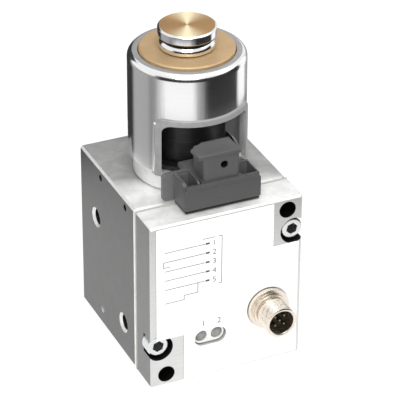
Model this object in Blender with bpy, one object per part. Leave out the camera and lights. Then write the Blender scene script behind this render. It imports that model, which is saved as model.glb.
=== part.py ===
"""Electro pneumatic regulator: a valve block with a proportional solenoid on top.

Metres, +Z up. X runs across the front, the label faces -Y, and the origin lies on
the floor under the middle of the whole device, receptacle included.
"""
import math

import bmesh
import bpy
from mathutils import Matrix, Vector

# Block and cover
BLOCK_WIDTH = 0.0600
BLOCK_HEIGHT = 0.0680
BODY_DEPTH = 0.0525
COVER_DEPTH = 0.0130
COVER_WALL = 0.0020
COVER_FRONT_WALL = 0.0025
GASKET_THICKNESS = 0.0006
GASKET_GAP = 0.0002
EDGE_BEVEL = 0.0004
BODY_BEVEL = 0.0008
BODY_FRONT_CHAMFER = 0.0012
COVER_BEVEL = 0.0004
COVER_FRONT_CHAMFER = 0.0007

# Clearances, and how far a cut runs past the face it opens
SEAT_GAP = 0.0003
RUN_GAP = 0.0003
OVERRUN = 0.0010

# Mounting holes that run through from front to back, on one diagonal
MOUNT_HOLE_RADIUS = 0.0033
MOUNT_HOLE_SIDE = 0.0061
MOUNT_HOLE_EDGE = 0.0048

# Cover screws
SCREW_HEAD_RADIUS = 0.00425
SCREW_HEAD_HEIGHT = 0.0050
SCREW_SHANK_RADIUS = 0.0024
SCREW_GRIP = 0.0110
SCREW_SOCKET_FLATS = 0.0040
SCREW_SOCKET_DEPTH = 0.0026
SCREW_SIDE = 0.0035
LOWER_SCREW_HEIGHT = 0.0167
UPPER_SCREW_DROP = 0.0141
COUNTERBORE_RADIUS = 0.00525
COUNTERBORE_DEPTH = 0.0067

# Solid corners of the cover, where the bolts and screws pass
CORNER_WIDTH = 0.0122
LOWER_CORNER_HEIGHT = 0.0230
UPPER_CORNER_HEIGHT = 0.0196

# Label
LABEL_THICKNESS = 0.00025
LABEL_GAP = 0.0001
LABEL_LEFT = 0.0022
LABEL_RIGHT = 0.0014
LABEL_END = 0.0010
LOWER_NOTCH_WIDTH = 0.0130
LOWER_NOTCH_HEIGHT = 0.0203
UPPER_NOTCH_WIDTH = 0.0117
UPPER_NOTCH_HEIGHT = 0.0189

# Round receptacle with five pins
CONNECTOR_SIDE = 0.0135
CONNECTOR_Z = 0.0238
CONNECTOR_REACH = 0.0126
CONNECTOR_THREAD_RADIUS = 0.0060
CONNECTOR_BORE_RADIUS = 0.0047
CONNECTOR_BORE_DEPTH = 0.0092
CONNECTOR_FLANGE_RADIUS = 0.0080
CONNECTOR_FLANGE_THICKNESS = 0.0019
CONNECTOR_COLLAR_RADIUS = 0.0067
CONNECTOR_COLLAR_LENGTH = 0.0018
CONNECTOR_NECK_RADIUS = 0.0054
CONNECTOR_NECK_LENGTH = 0.0010
CONNECTOR_WALL = 0.0017
CONNECTOR_CORD_RADIUS = 0.0004
PIN_RADIUS = 0.0005
PIN_CIRCLE_RADIUS = 0.0025
PIN_RISE = 0.0055
NUT_FLATS = 0.0140
NUT_THICKNESS = 0.0020

# Indicator window
WINDOW_SIDE = 0.0236
WINDOW_Z = 0.0168
WINDOW_LENGTH = 0.0127
WINDOW_HEIGHT = 0.0068
WINDOW_RECESS = 0.0012
INDICATOR_THICKNESS = 0.0018
LED_RADIUS = 0.0021
LED_PITCH = 0.0062

# Circuit board and pressure sensor behind the cover
BOARD_SETBACK = 0.0085
BOARD_THICKNESS = 0.0016
BOARD_MARGIN = 0.0008
BOARD_POST_RADIUS = 0.0030
BOARD_SCREW_RADIUS = 0.0013
BOARD_SCREW_HEAD_RADIUS = 0.0023
BOARD_SCREW_HEAD_HEIGHT = 0.0012
SENSOR_RADIUS = 0.0045
SENSOR_STUB_RADIUS = 0.0027
SENSOR_STUB_LENGTH = 0.0060

# Valve bore, on the solenoid's axis
VALVE_SETBACK = 0.0216
SPIGOT_BORE_RADIUS = 0.0150
SPIGOT_BORE_DEPTH = 0.0060
PISTON_BORE_RADIUS = 0.0125
PISTON_BORE_DEPTH = 0.0140
OUTLET_BORE_RADIUS = 0.0080
OUTLET_BORE_LENGTH = 0.0100
INLET_BORE_RADIUS = 0.0108

# Ports in the back face
PORT_RADIUS = 0.0050
PORT_PITCH = 0.0175
EXHAUST_PORT_Z = 0.0110
PORT_GROOVE_INNER = 0.0062
PORT_GROOVE_WIDTH = 0.0020
PORT_GROOVE_DEPTH = 0.0019

# Holes in the left face
SIDE_HOLE_RADIUS = 0.0013
SIDE_HOLE_DEPTH = 0.0060
SIDE_HOLE_NEAR = 0.0089
SIDE_HOLE_FAR = 0.0321
SIDE_HOLE_EDGE = 0.0035
SIDE_HOLE_FOOT = 0.0067
TAP_RADIUS = 0.0031
TAP_MOUTH_RADIUS = 0.0040
TAP_DEPTH = 0.0095
UPPER_TAP_SETBACK = 0.0371
UPPER_TAP_Z = 0.0449
LOWER_TAP_SETBACK = 0.0117
LOWER_TAP_Z = 0.0133

# Valve pieces
SEAT_THICKNESS = 0.0037
SEAT_OPENING_RADIUS = 0.0050
PISTON_THICKNESS = 0.0060
STEM_RADIUS = 0.0025
STEM_TO_POPPET = 0.0011
POPPET_RADIUS = 0.0074
POPPET_THICKNESS = 0.0025
POPPET_RUBBER_THICKNESS = 0.0020
POPPET_TAIL_RADIUS = 0.0034
POPPET_TAIL_LENGTH = 0.0109
POPPET_VENT_RADIUS = 0.0011
PLUG_HEIGHT = 0.0180
PLUG_FLOOR = 0.0062
CIRCLIP_THICKNESS = 0.0007
CIRCLIP_GROOVE_DEPTH = 0.0010
CIRCLIP_RADIAL = 0.0018
CIRCLIP_INSET = 0.0008

# Sealing rings
SEAL_CORD_RADIUS = 0.0007

# Solenoid
FLANGE_RADIUS = 0.0197
FLANGE_HEIGHT = 0.0069
POLE_HEIGHT = 0.0131
POLE_RADIUS = 0.0065
POT_RADIUS = 0.0216
POT_WALL = 0.0024
POT_HEIGHT = 0.0411
POT_ROUNDING = 0.0036
POT_MOUTH_RADIUS = 0.0178
POT_WINDOW_WIDTH = 0.0332
POT_WINDOW_HEIGHT = 0.0210
POT_WINDOW_ROUNDING = 0.0030
POT_LIP_SIDE = 0.0017
POT_LIP_TOP = 0.0022
POT_LIP_RISE = 0.0008
TOP_PLATE_RADIUS = 0.0175
TOP_PLATE_RISE = 0.0011
TOP_PLATE_THICKNESS = 0.0058
TOP_LAND_THICKNESS = 0.0020
TUBE_WALL = 0.0010
NUT_RING_RADIUS = 0.0103
CAP_RADIUS = 0.0107
NUT_RING_HEIGHT = 0.0033
CAP_HEIGHT = 0.0041
CAP_CHAMFER = 0.0014
CAP_GROOVE = 0.0007
BOBBIN_RADIUS = 0.0175
BOBBIN_FLANGE = 0.0016
BOBBIN_WALL = 0.0010
WINDING_RADIUS = 0.0140
ARMATURE_LENGTH = 0.0175
ARMATURE_TRAVEL = 0.0024
STROKE_END_GAP = 0.0002
ROD_RADIUS = 0.0015
ROD_SOCKET_DEPTH = 0.0080

# Coil plug housing
HOUSING_WIDTH = 0.0300
HOUSING_SETBACK = 0.0035
HOUSING_DEPTH = 0.0119
HOUSING_LIFT = 0.0012
HOUSING_GASKET_INSET = 0.0006
HOUSING_HEIGHT = 0.0084
HOUSING_RIM = 0.0015
HOUSING_RIM_WALL = 0.0009
POCKET_DEPTH = 0.0062
POCKET_WALL = 0.0013
SHIELD_WIDTH = 0.0382
SHIELD_THICKNESS = 0.0016
SHIELD_HEIGHT = 0.0109
SHIELD_CUT_X = 0.0066
SHIELD_CUT_Z = 0.0078
NECK_WIDTH = 0.0200
TOWER_WIDTH = 0.0144
TOWER_DEPTH = 0.0102
TOWER_SETBACK = 0.0014
TOWER_HEIGHT = 0.0195
LID_OVERHANG = 0.0019
LID_THICKNESS = 0.0011
LID_CORNER_X = 0.0055
LID_CORNER_Y = 0.0032
KEYHOLE_RADIUS = 0.0014
KEYHOLE_X = 0.0008
KEYHOLE_DROP = 0.0038
KEYHOLE_DEPTH = 0.0040
TERMINAL_WIDTH = 0.0048
TERMINAL_THICKNESS = 0.0008
TERMINAL_PITCH = 0.0120
TERMINAL_DROP = 0.0070

# Springs
RETURN_WIRE_RADIUS = 0.00035
RETURN_COIL_RADIUS = 0.0031
RETURN_SEAT_DEPTH = 0.0060
RETURN_TURNS = 5.5
POPPET_WIRE_RADIUS = 0.00045
POPPET_COIL_RADIUS = 0.0052
POPPET_TURNS = 5.5

# Facets round a circle
FINE = 40
MEDIUM = 24
COARSE = 16

# Points nearer than this are one point
MERGE_DISTANCE = 1e-6

# Places worked out from the sizes above
OVERALL_DEPTH = COVER_DEPTH + 2 * GASKET_GAP + GASKET_THICKNESS + BODY_DEPTH
FRONT_Y = (CONNECTOR_REACH - OVERALL_DEPTH) / 2
BODY_FRONT_Y = FRONT_Y + COVER_DEPTH + 2 * GASKET_GAP + GASKET_THICKNESS
BACK_Y = BODY_FRONT_Y + BODY_DEPTH
HALF_WIDTH = BLOCK_WIDTH / 2
CONNECTOR_X = HALF_WIDTH - CONNECTOR_SIDE
WINDOW_X = WINDOW_SIDE - HALF_WIDTH
VALVE_Y = BODY_FRONT_Y + VALVE_SETBACK
SPIGOT_FLOOR_Z = BLOCK_HEIGHT - SPIGOT_BORE_DEPTH
PISTON_FLOOR_Z = SPIGOT_FLOOR_Z - PISTON_BORE_DEPTH
SEAT_SHOULDER_Z = PISTON_FLOOR_Z - OUTLET_BORE_LENGTH
INLET_PORT_Z = EXHAUST_PORT_Z + PORT_PITCH
OUTLET_PORT_Z = INLET_PORT_Z + PORT_PITCH
FLANGE_TOP_Z = BLOCK_HEIGHT + SEAT_GAP + FLANGE_HEIGHT
POLE_TOP_Z = FLANGE_TOP_Z + POLE_HEIGHT
POT_BASE_Z = FLANGE_TOP_Z + SEAT_GAP
POT_TOP_Z = POT_BASE_Z + POT_HEIGHT
PLATE_TOP_Z = POT_TOP_Z + TOP_PLATE_RISE
TUBE_INNER_RADIUS = POLE_RADIUS + RUN_GAP
TUBE_OUTER_RADIUS = TUBE_INNER_RADIUS + TUBE_WALL
ARMATURE_Z = POLE_TOP_Z + ARMATURE_TRAVEL + STROKE_END_GAP
NUT_TOP_Z = PLATE_TOP_Z + SEAT_GAP + NUT_RING_HEIGHT
CAP_BASE_Z = NUT_TOP_Z + CAP_GROOVE
SEAT_BASE_Z = SEAT_SHOULDER_Z - SEAT_GAP - SEAT_THICKNESS
POPPET_TOP_Z = SEAT_BASE_Z - SEAT_GAP
PISTON_TOP_Z = SPIGOT_FLOOR_Z
SPIGOT_BASE_Z = SPIGOT_FLOOR_Z + SEAT_GAP
PLUG_BASE_Z = CIRCLIP_INSET + CIRCLIP_THICKNESS + 2 * SEAT_GAP
PLUG_TOP_Z = PLUG_BASE_Z + PLUG_HEIGHT
HOUSING_FRONT_Y = FRONT_Y + HOUSING_SETBACK
HOUSING_BASE_Z = BLOCK_HEIGHT + HOUSING_LIFT
HOUSING_TOP_Z = HOUSING_BASE_Z + HOUSING_HEIGHT
SHIELD_Y = HOUSING_FRONT_Y + HOUSING_DEPTH - SHIELD_THICKNESS
BOARD_Y = FRONT_Y + BOARD_SETBACK


def clear_scene():
    for old in list(bpy.data.objects):
        bpy.data.objects.remove(old, do_unlink=True)


def material(name, colour, roughness, metallic=0.0):
    made = bpy.data.materials.new(name)
    made.use_nodes = True
    shader = made.node_tree.nodes["Principled BSDF"]
    shader.inputs["Base Color"].default_value = (*colour, 1.0)
    shader.inputs["Roughness"].default_value = roughness
    shader.inputs["Metallic"].default_value = metallic
    return made


def add_object(name, bm, place=(0, 0, 0), finish=None, smooth=True):
    """Make a named object of a mesh that was built about its own origin, and place it."""
    bmesh.ops.recalc_face_normals(bm, faces=bm.faces[:])
    mesh = bpy.data.meshes.new(name)
    bm.to_mesh(mesh)
    bm.free()
    if smooth:
        mesh.shade_smooth()
        mesh.set_sharp_from_angle(angle=math.radians(35))
    made = bpy.data.objects.new(name, mesh)
    made.location = place
    if finish is not None:
        made.data.materials.append(finish)
    bpy.context.scene.collection.objects.link(made)
    return made


def turned(profile, segments):
    """Spin a closed profile of (radius, height) points about Z."""
    bm = bmesh.new()
    verts = [bm.verts.new((r, 0.0, z)) for r, z in profile]
    pairs = zip(verts, verts[1:] + verts[:1])
    edges = [bm.edges.new(pair) for pair in pairs if pair[0].co.x + pair[1].co.x > MERGE_DISTANCE]
    bmesh.ops.spin(
        bm, geom=verts + edges, cent=(0, 0, 0), axis=(0, 0, 1),
        angle=2 * math.pi, steps=segments, use_merge=True, use_duplicate=False,
    )
    bmesh.ops.remove_doubles(bm, verts=bm.verts[:], dist=MERGE_DISTANCE)
    return bm


def tube(outer, inner, low, high, segments, chamfer=0.0):
    """A ring of rectangular section, its outer edges chamfered."""
    profile = [(inner, high), (outer - chamfer, high)]
    if chamfer > 0:
        profile += [(outer, high - chamfer), (outer, low + chamfer)]
    else:
        profile += [(outer, high)]
    profile += [(outer - chamfer, low), (inner, low)]
    return turned(profile, segments)


def rod(radius, low, high, segments):
    return turned([(0, high), (radius, high), (radius, low), (0, low)], segments)


def ring_seal(radius, cord, segments=MEDIUM, sides=6):
    """A sealing ring of round section about Z."""
    turns = [2 * math.pi * k / sides for k in range(sides)]
    return turned([(radius + cord * math.cos(a), cord * math.sin(a)) for a in turns], segments)


def prism(outline, low, high):
    """Extrude a closed (x, y) outline along Z."""
    bm = bmesh.new()
    face = bm.faces.new([bm.verts.new((x, y, low)) for x, y in outline])
    grown = bmesh.ops.extrude_face_region(bm, geom=[face])
    moved = [item for item in grown["geom"] if isinstance(item, bmesh.types.BMVert)]
    bmesh.ops.translate(bm, verts=moved, vec=(0, 0, high - low))
    return bm


def box(x0, x1, y0, y1, z0, z1, bevel=0.0):
    bm = prism([(x0, y0), (x1, y0), (x1, y1), (x0, y1)], z0, z1)
    if bevel > 0:
        bmesh.ops.bevel(bm, geom=bm.edges[:], offset=bevel, segments=1, affect="EDGES")
    return bm


def rounded_outline(width, height, radius, steps, lower=True):
    """A rectangle about the origin with round corners, or round upper corners only."""
    points = []
    corners = ((1, 1, 0), (-1, 1, 90), (-1, -1, 180), (1, -1, 270))
    for side_x, side_y, start in corners:
        if side_y < 0 and not lower:
            points.append((side_x * width / 2, side_y * height / 2))
            continue
        for k in range(steps + 1):
            angle = math.radians(start + 90 * k / steps)
            points.append((
                side_x * (width / 2 - radius) + radius * math.cos(angle),
                side_y * (height / 2 - radius) + radius * math.sin(angle),
            ))
    return points


def circle_outline(radius, segments, x=0.0, y=0.0, start=0.0):
    turns = [start + 2 * math.pi * k / segments for k in range(segments)]
    return [(x + radius * math.cos(a), y + radius * math.sin(a)) for a in turns]


def to_front(bm):
    """Turn what was built along +Z so that it runs along -Y, with +Y turned up to +Z."""
    bmesh.ops.rotate(bm, verts=bm.verts[:], cent=(0, 0, 0), matrix=Matrix.Rotation(math.pi / 2, 3, "X"))
    return bm


def to_side(bm):
    """Turn what was built along +Z so that it runs along +X."""
    bmesh.ops.rotate(bm, verts=bm.verts[:], cent=(0, 0, 0), matrix=Matrix.Rotation(math.pi / 2, 3, "Y"))
    return bm


def combine(target, bm, place, operation="DIFFERENCE"):
    """Cut one solid out of another, join it on, or keep what they share."""
    tool = add_object(f"{target.name}.tool.{len(target.modifiers)}", bm, place, smooth=False)
    tool.hide_render = True
    tool.display_type = "WIRE"
    change = target.modifiers.new(tool.name, "BOOLEAN")
    change.operation = operation
    change.object = tool
    return tool


def mount_hole_places():
    """The two diagonal bolt holes, as (x, z)."""
    low = (-HALF_WIDTH + MOUNT_HOLE_SIDE, MOUNT_HOLE_EDGE)
    high = (HALF_WIDTH - MOUNT_HOLE_SIDE, BLOCK_HEIGHT - MOUNT_HOLE_EDGE)
    return low, high


def screw_places():
    """The two cover screws, lower left and upper right, as (x, z)."""
    low = (-HALF_WIDTH + SCREW_SIDE, LOWER_SCREW_HEIGHT)
    high = (HALF_WIDTH - SCREW_SIDE, BLOCK_HEIGHT - UPPER_SCREW_DROP)
    return low, high


def notched_outline(left, right, bottom, top, lower_corner, upper_corner):
    """A rectangle that steps in at its lower left and its upper right corner."""
    return [
        (left + lower_corner[0], bottom), (right, bottom),
        (right, top - upper_corner[1]), (right - upper_corner[0], top - upper_corner[1]),
        (right - upper_corner[0], top), (left, top),
        (left, bottom + lower_corner[1]), (left + lower_corner[0], bottom + lower_corner[1]),
    ]


def cavity_outline(margin=0.0):
    """The hollow behind the cover, seen from the front, shrunk all round by a margin."""
    inset = COVER_WALL + margin
    return notched_outline(
        -HALF_WIDTH + inset, HALF_WIDTH - inset, inset, BLOCK_HEIGHT - inset,
        (CORNER_WIDTH - COVER_WALL, LOWER_CORNER_HEIGHT - COVER_WALL),
        (CORNER_WIDTH - COVER_WALL, UPPER_CORNER_HEIGHT - COVER_WALL),
    )


def front_prism(outline, near, far):
    """Extrude an outline seen from the front, between two distances behind Y = 0."""
    return to_front(prism(outline, -far, -near))


def drill_through(target, near, far):
    """Cut the two diagonal bolt holes through a piece."""
    for x, z in mount_hole_places():
        combine(target, to_front(rod(MOUNT_HOLE_RADIUS, -far - OVERRUN, -near + OVERRUN, MEDIUM)), (x, 0, z))


# Block

def chamfered_block(front, back, front_chamfer, bevel):
    """Full-size block between two distances, with a wider chamfer round its front face."""
    bm = bmesh.new()
    rings = []
    for y, inset in ((front, front_chamfer), (front + front_chamfer, 0), (back - bevel, 0), (back, bevel)):
        x = HALF_WIDTH - inset
        z = BLOCK_HEIGHT - inset
        corners = [
            (-x + bevel, inset), (x - bevel, inset), (x, inset + bevel), (x, z - bevel),
            (x - bevel, z), (-x + bevel, z), (-x, z - bevel), (-x, inset + bevel),
        ]
        rings.append([bm.verts.new((px, y, pz)) for px, pz in corners])
    for near, far in zip(rings, rings[1:]):
        for k in range(8):
            bm.faces.new((near[k - 1], near[k], far[k], far[k - 1]))
    bm.faces.new(rings[0])
    bm.faces.new(rings[-1])
    return bm


def valve_body(finish):
    bm = chamfered_block(BODY_FRONT_Y, BACK_Y, BODY_FRONT_CHAMFER, BODY_BEVEL)
    body = add_object("valve_body", bm, finish=finish)
    groove = INLET_BORE_RADIUS + CIRCLIP_GROOVE_DEPTH
    groove_top = CIRCLIP_INSET + CIRCLIP_THICKNESS + SEAT_GAP
    bore = [
        (0, BLOCK_HEIGHT + OVERRUN), (SPIGOT_BORE_RADIUS, BLOCK_HEIGHT + OVERRUN),
        (SPIGOT_BORE_RADIUS, SPIGOT_FLOOR_Z), (PISTON_BORE_RADIUS, SPIGOT_FLOOR_Z),
        (PISTON_BORE_RADIUS, PISTON_FLOOR_Z), (OUTLET_BORE_RADIUS, PISTON_FLOOR_Z),
        (OUTLET_BORE_RADIUS, SEAT_SHOULDER_Z), (INLET_BORE_RADIUS, SEAT_SHOULDER_Z),
        (INLET_BORE_RADIUS, groove_top), (groove, groove_top),
        (groove, CIRCLIP_INSET - SEAT_GAP), (INLET_BORE_RADIUS, CIRCLIP_INSET - SEAT_GAP),
        (INLET_BORE_RADIUS, -OVERRUN), (0, -OVERRUN),
    ]
    combine(body, turned(bore, MEDIUM), (0, VALVE_Y, 0))
    for z in (EXHAUST_PORT_Z, INLET_PORT_Z, OUTLET_PORT_Z):
        port = to_front(rod(PORT_RADIUS, VALVE_Y - BACK_Y - OVERRUN, 0, MEDIUM))
        combine(body, port, (0, VALVE_Y, z))
        outer = PORT_GROOVE_INNER + PORT_GROOVE_WIDTH
        groove_ring = to_front(tube(outer, PORT_GROOVE_INNER, -OVERRUN, PORT_GROOVE_DEPTH, MEDIUM))
        combine(body, groove_ring, (0, BACK_Y, z))
    drill_through(body, BODY_FRONT_Y, BACK_Y)
    for x, z in screw_places():
        thread = to_front(rod(SCREW_SHANK_RADIUS + SEAT_GAP, -SCREW_GRIP - OVERRUN, OVERRUN, COARSE))
        combine(body, thread, (x, BODY_FRONT_Y, z))
    for setback, z in side_hole_places():
        blind = to_side(rod(SIDE_HOLE_RADIUS, -OVERRUN, SIDE_HOLE_DEPTH, 16))
        combine(body, blind, (-HALF_WIDTH, BODY_FRONT_Y + setback, z))
    for setback, z in ((UPPER_TAP_SETBACK, UPPER_TAP_Z), (LOWER_TAP_SETBACK, LOWER_TAP_Z)):
        mouth = TAP_MOUTH_RADIUS - TAP_RADIUS
        tapped = [
            (0, -OVERRUN), (TAP_MOUTH_RADIUS + OVERRUN, -OVERRUN), (TAP_RADIUS, mouth),
            (TAP_RADIUS, TAP_DEPTH), (0, TAP_DEPTH + TAP_RADIUS / 2),
        ]
        combine(body, to_side(turned(tapped, COARSE)), (-HALF_WIDTH, BODY_FRONT_Y + setback, z))
    sensor_z = (PISTON_FLOOR_Z + SEAT_SHOULDER_Z) / 2
    tap = to_front(rod(SENSOR_STUB_RADIUS + SEAT_GAP, -VALVE_SETBACK, OVERRUN, COARSE))
    combine(body, tap, (0, BODY_FRONT_Y, sensor_z))
    return body


def side_hole_places():
    """Small blind holes of the left face, as (distance behind the body's front, z)."""
    high = BLOCK_HEIGHT - SIDE_HOLE_EDGE
    return (SIDE_HOLE_NEAR, high), (SIDE_HOLE_FAR, high), (SIDE_HOLE_FAR, SIDE_HOLE_FOOT)


def cover_gasket(finish):
    near = FRONT_Y + COVER_DEPTH + GASKET_GAP
    far = near + GASKET_THICKNESS
    frame = [(-HALF_WIDTH, 0), (HALF_WIDTH, 0), (HALF_WIDTH, BLOCK_HEIGHT), (-HALF_WIDTH, BLOCK_HEIGHT)]
    gasket = add_object("cover_gasket", front_prism(frame, near, far), finish=finish)
    combine(gasket, front_prism(cavity_outline(), near - OVERRUN, far + OVERRUN), (0, 0, 0))
    drill_through(gasket, near, far)
    for x, z in screw_places():
        hole = to_front(rod(SCREW_SHANK_RADIUS + SEAT_GAP, -far - OVERRUN, -near + OVERRUN, COARSE))
        combine(gasket, hole, (x, 0, z))
    return gasket


def front_cover(finish):
    rear = FRONT_Y + COVER_DEPTH
    bm = chamfered_block(FRONT_Y, rear, COVER_FRONT_CHAMFER, COVER_BEVEL)
    cover = add_object("front_cover", bm, finish=finish)
    combine(cover, front_prism(cavity_outline(), FRONT_Y + COVER_FRONT_WALL, rear + OVERRUN), (0, 0, 0))
    post_near = FRONT_Y + COVER_FRONT_WALL - OVERRUN
    for x, z in board_screw_places():
        post = to_front(rod(BOARD_POST_RADIUS, -(BOARD_Y - SEAT_GAP), -post_near, COARSE))
        combine(cover, post, (x, 0, z), "UNION")
        pilot = to_front(rod(BOARD_SCREW_RADIUS + SEAT_GAP, -BOARD_Y - OVERRUN, -post_near - OVERRUN / 2, 16))
        combine(cover, pilot, (x, 0, z))
    drill_through(cover, FRONT_Y, rear)
    for x, z in screw_places():
        counterbore = to_front(rod(COUNTERBORE_RADIUS, -COUNTERBORE_DEPTH, OVERRUN, MEDIUM))
        combine(cover, counterbore, (x, FRONT_Y, z))
        hole = to_front(rod(SCREW_SHANK_RADIUS + SEAT_GAP, -COVER_DEPTH - OVERRUN, OVERRUN, COARSE))
        combine(cover, hole, (x, FRONT_Y, z))
    stem_radius = CONNECTOR_THREAD_RADIUS + SEAT_GAP
    entry = to_front(rod(stem_radius, -COVER_FRONT_WALL - OVERRUN, OVERRUN, MEDIUM))
    combine(cover, entry, (CONNECTOR_X, FRONT_Y, CONNECTOR_Z))
    window = rounded_outline(WINDOW_LENGTH, WINDOW_HEIGHT, WINDOW_HEIGHT / 2, 8)
    pane = front_prism(window, -OVERRUN, COVER_FRONT_WALL + OVERRUN)
    combine(cover, pane, (WINDOW_X, FRONT_Y, WINDOW_Z))
    for x in terminal_places():
        half_x = TERMINAL_WIDTH / 2 + SEAT_GAP
        half_y = TERMINAL_THICKNESS / 2 + SEAT_GAP
        slot = box(-half_x, half_x, -half_y, half_y, -COVER_WALL - OVERRUN, OVERRUN)
        combine(cover, slot, (x, terminal_y(), BLOCK_HEIGHT))
    return cover


def board_screw_places():
    """The board's two screws, in the cover's free corners, as (x, z)."""
    inset = COVER_WALL + BOARD_MARGIN + BOARD_POST_RADIUS
    return (-HALF_WIDTH + inset, BLOCK_HEIGHT - inset), (HALF_WIDTH - inset, inset)


def terminal_places():
    return -TERMINAL_PITCH / 2, TERMINAL_PITCH / 2


def terminal_y():
    """Half way between the housing's front and the cover's front wall and rear edge."""
    return FRONT_Y + (COVER_FRONT_WALL + BOARD_SETBACK) / 2


def label_film(finish):
    near = FRONT_Y - LABEL_GAP - LABEL_THICKNESS
    far = FRONT_Y - LABEL_GAP
    outline = notched_outline(
        -HALF_WIDTH + LABEL_LEFT, HALF_WIDTH - LABEL_RIGHT, LABEL_END, BLOCK_HEIGHT - LABEL_END,
        (LOWER_NOTCH_WIDTH - LABEL_LEFT, LOWER_NOTCH_HEIGHT - LABEL_END),
        (UPPER_NOTCH_WIDTH - LABEL_RIGHT, UPPER_NOTCH_HEIGHT - LABEL_END),
    )
    label = add_object("label_film", front_prism(outline, near, far), finish=finish)
    flange = to_front(rod(CONNECTOR_FLANGE_RADIUS + SEAT_GAP, -OVERRUN, OVERRUN, FINE))
    combine(label, flange, (CONNECTOR_X, FRONT_Y, CONNECTOR_Z))
    window = rounded_outline(WINDOW_LENGTH, WINDOW_HEIGHT, WINDOW_HEIGHT / 2, 8)
    combine(label, front_prism(window, -OVERRUN, OVERRUN), (WINDOW_X, FRONT_Y, WINDOW_Z))
    return label


def cover_screw(name, place, finish):
    """Cap screw with a six-sided socket, its head sunk in the cover."""
    top = -(COUNTERBORE_DEPTH - SCREW_HEAD_HEIGHT - SEAT_GAP)
    neck = top - SCREW_HEAD_HEIGHT
    tip = -(BODY_FRONT_Y - FRONT_Y) - SCREW_GRIP + SEAT_GAP
    chamfer = EDGE_BEVEL
    profile = [
        (0, top), (SCREW_HEAD_RADIUS - chamfer, top), (SCREW_HEAD_RADIUS, top - chamfer),
        (SCREW_HEAD_RADIUS, neck), (SCREW_SHANK_RADIUS, neck),
        (SCREW_SHANK_RADIUS, tip + chamfer), (SCREW_SHANK_RADIUS - chamfer, tip), (0, tip),
    ]
    x, z = place
    screw = add_object(name, to_front(turned(profile, MEDIUM)), (x, FRONT_Y, z), finish)
    corner = SCREW_SOCKET_FLATS / 2 / math.cos(math.pi / 6)
    socket = to_front(prism(circle_outline(corner, 6), top - SCREW_SOCKET_DEPTH, top + OVERRUN))
    combine(screw, socket, (x, FRONT_Y, z))
    return screw


# Receptacle

def connector_shell(finish):
    """Nickel-plated shell, turned in one piece, with its axis along the front's normal."""
    tip = CONNECTOR_REACH
    base = SEAT_GAP
    flange_face = base + CONNECTOR_FLANGE_THICKNESS
    collar_face = flange_face + CONNECTOR_COLLAR_LENGTH
    neck_face = collar_face + CONNECTOR_NECK_LENGTH
    bore_floor = tip - CONNECTOR_BORE_DEPTH
    stem_end = -(COVER_FRONT_WALL + SEAT_GAP + NUT_THICKNESS + CONNECTOR_NECK_LENGTH)
    chamfer = EDGE_BEVEL
    wide = CONNECTOR_BORE_RADIUS
    narrow = CONNECTOR_NECK_RADIUS - CONNECTOR_WALL
    seal_inner = CONNECTOR_THREAD_RADIUS + chamfer
    seal_outer = seal_inner + 2 * CONNECTOR_CORD_RADIUS + SEAT_GAP
    seal_depth = 2 * CONNECTOR_CORD_RADIUS
    profile = [
        (wide + chamfer, tip), (CONNECTOR_THREAD_RADIUS - chamfer, tip),
        (CONNECTOR_THREAD_RADIUS, tip - chamfer), (CONNECTOR_THREAD_RADIUS, neck_face),
        (CONNECTOR_NECK_RADIUS, neck_face), (CONNECTOR_NECK_RADIUS, collar_face),
        (CONNECTOR_COLLAR_RADIUS, collar_face), (CONNECTOR_COLLAR_RADIUS, flange_face),
        (CONNECTOR_FLANGE_RADIUS - chamfer, flange_face),
        (CONNECTOR_FLANGE_RADIUS, flange_face - chamfer), (CONNECTOR_FLANGE_RADIUS, base),
        (seal_outer, base), (seal_outer, base + seal_depth),
        (seal_inner, base + seal_depth), (seal_inner, base),
        (CONNECTOR_THREAD_RADIUS, base), (CONNECTOR_THREAD_RADIUS, stem_end),
        (narrow, stem_end), (narrow, bore_floor), (wide, bore_floor), (wide, tip - chamfer),
    ]
    place = (CONNECTOR_X, FRONT_Y, CONNECTOR_Z)
    return add_object("connector_shell", to_front(turned(profile, FINE)), place, finish)


def connector_seal(finish):
    radius = CONNECTOR_THREAD_RADIUS + EDGE_BEVEL + CONNECTOR_CORD_RADIUS + SEAT_GAP / 2
    seal = ring_seal(radius, CONNECTOR_CORD_RADIUS - SEAT_GAP / 3, FINE)
    place = (CONNECTOR_X, FRONT_Y - SEAT_GAP - CONNECTOR_CORD_RADIUS, CONNECTOR_Z)
    return add_object("connector_seal", to_front(seal), place, finish)


def pin_places():
    """One pin in the middle and four round it, as offsets from the receptacle's axis."""
    ring = circle_outline(PIN_CIRCLE_RADIUS, 4, start=math.pi / 4)
    return [(0.0, 0.0)] + ring


def connector_insert(finish):
    """Insulator that holds the pins: a disc in the bore and a shank behind it."""
    floor = CONNECTOR_REACH - CONNECTOR_BORE_DEPTH + SEAT_GAP
    face = floor + CONNECTOR_WALL
    wide = CONNECTOR_BORE_RADIUS - SEAT_GAP / 2
    shank = CONNECTOR_NECK_RADIUS - CONNECTOR_WALL - SEAT_GAP / 2
    end = -(BOARD_SETBACK - 2 * CONNECTOR_NECK_LENGTH)
    profile = [(0, face), (wide, face), (wide, floor), (shank, floor), (shank, end), (0, end)]
    place = (CONNECTOR_X, FRONT_Y, CONNECTOR_Z)
    insert = add_object("connector_insert", to_front(turned(profile, MEDIUM)), place, finish)
    for dx, dz in pin_places():
        hole = to_front(rod(PIN_RADIUS + SEAT_GAP / 2, end - OVERRUN, face + OVERRUN, 12))
        combine(insert, hole, (CONNECTOR_X + dx, FRONT_Y, CONNECTOR_Z + dz))
    return insert


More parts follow.
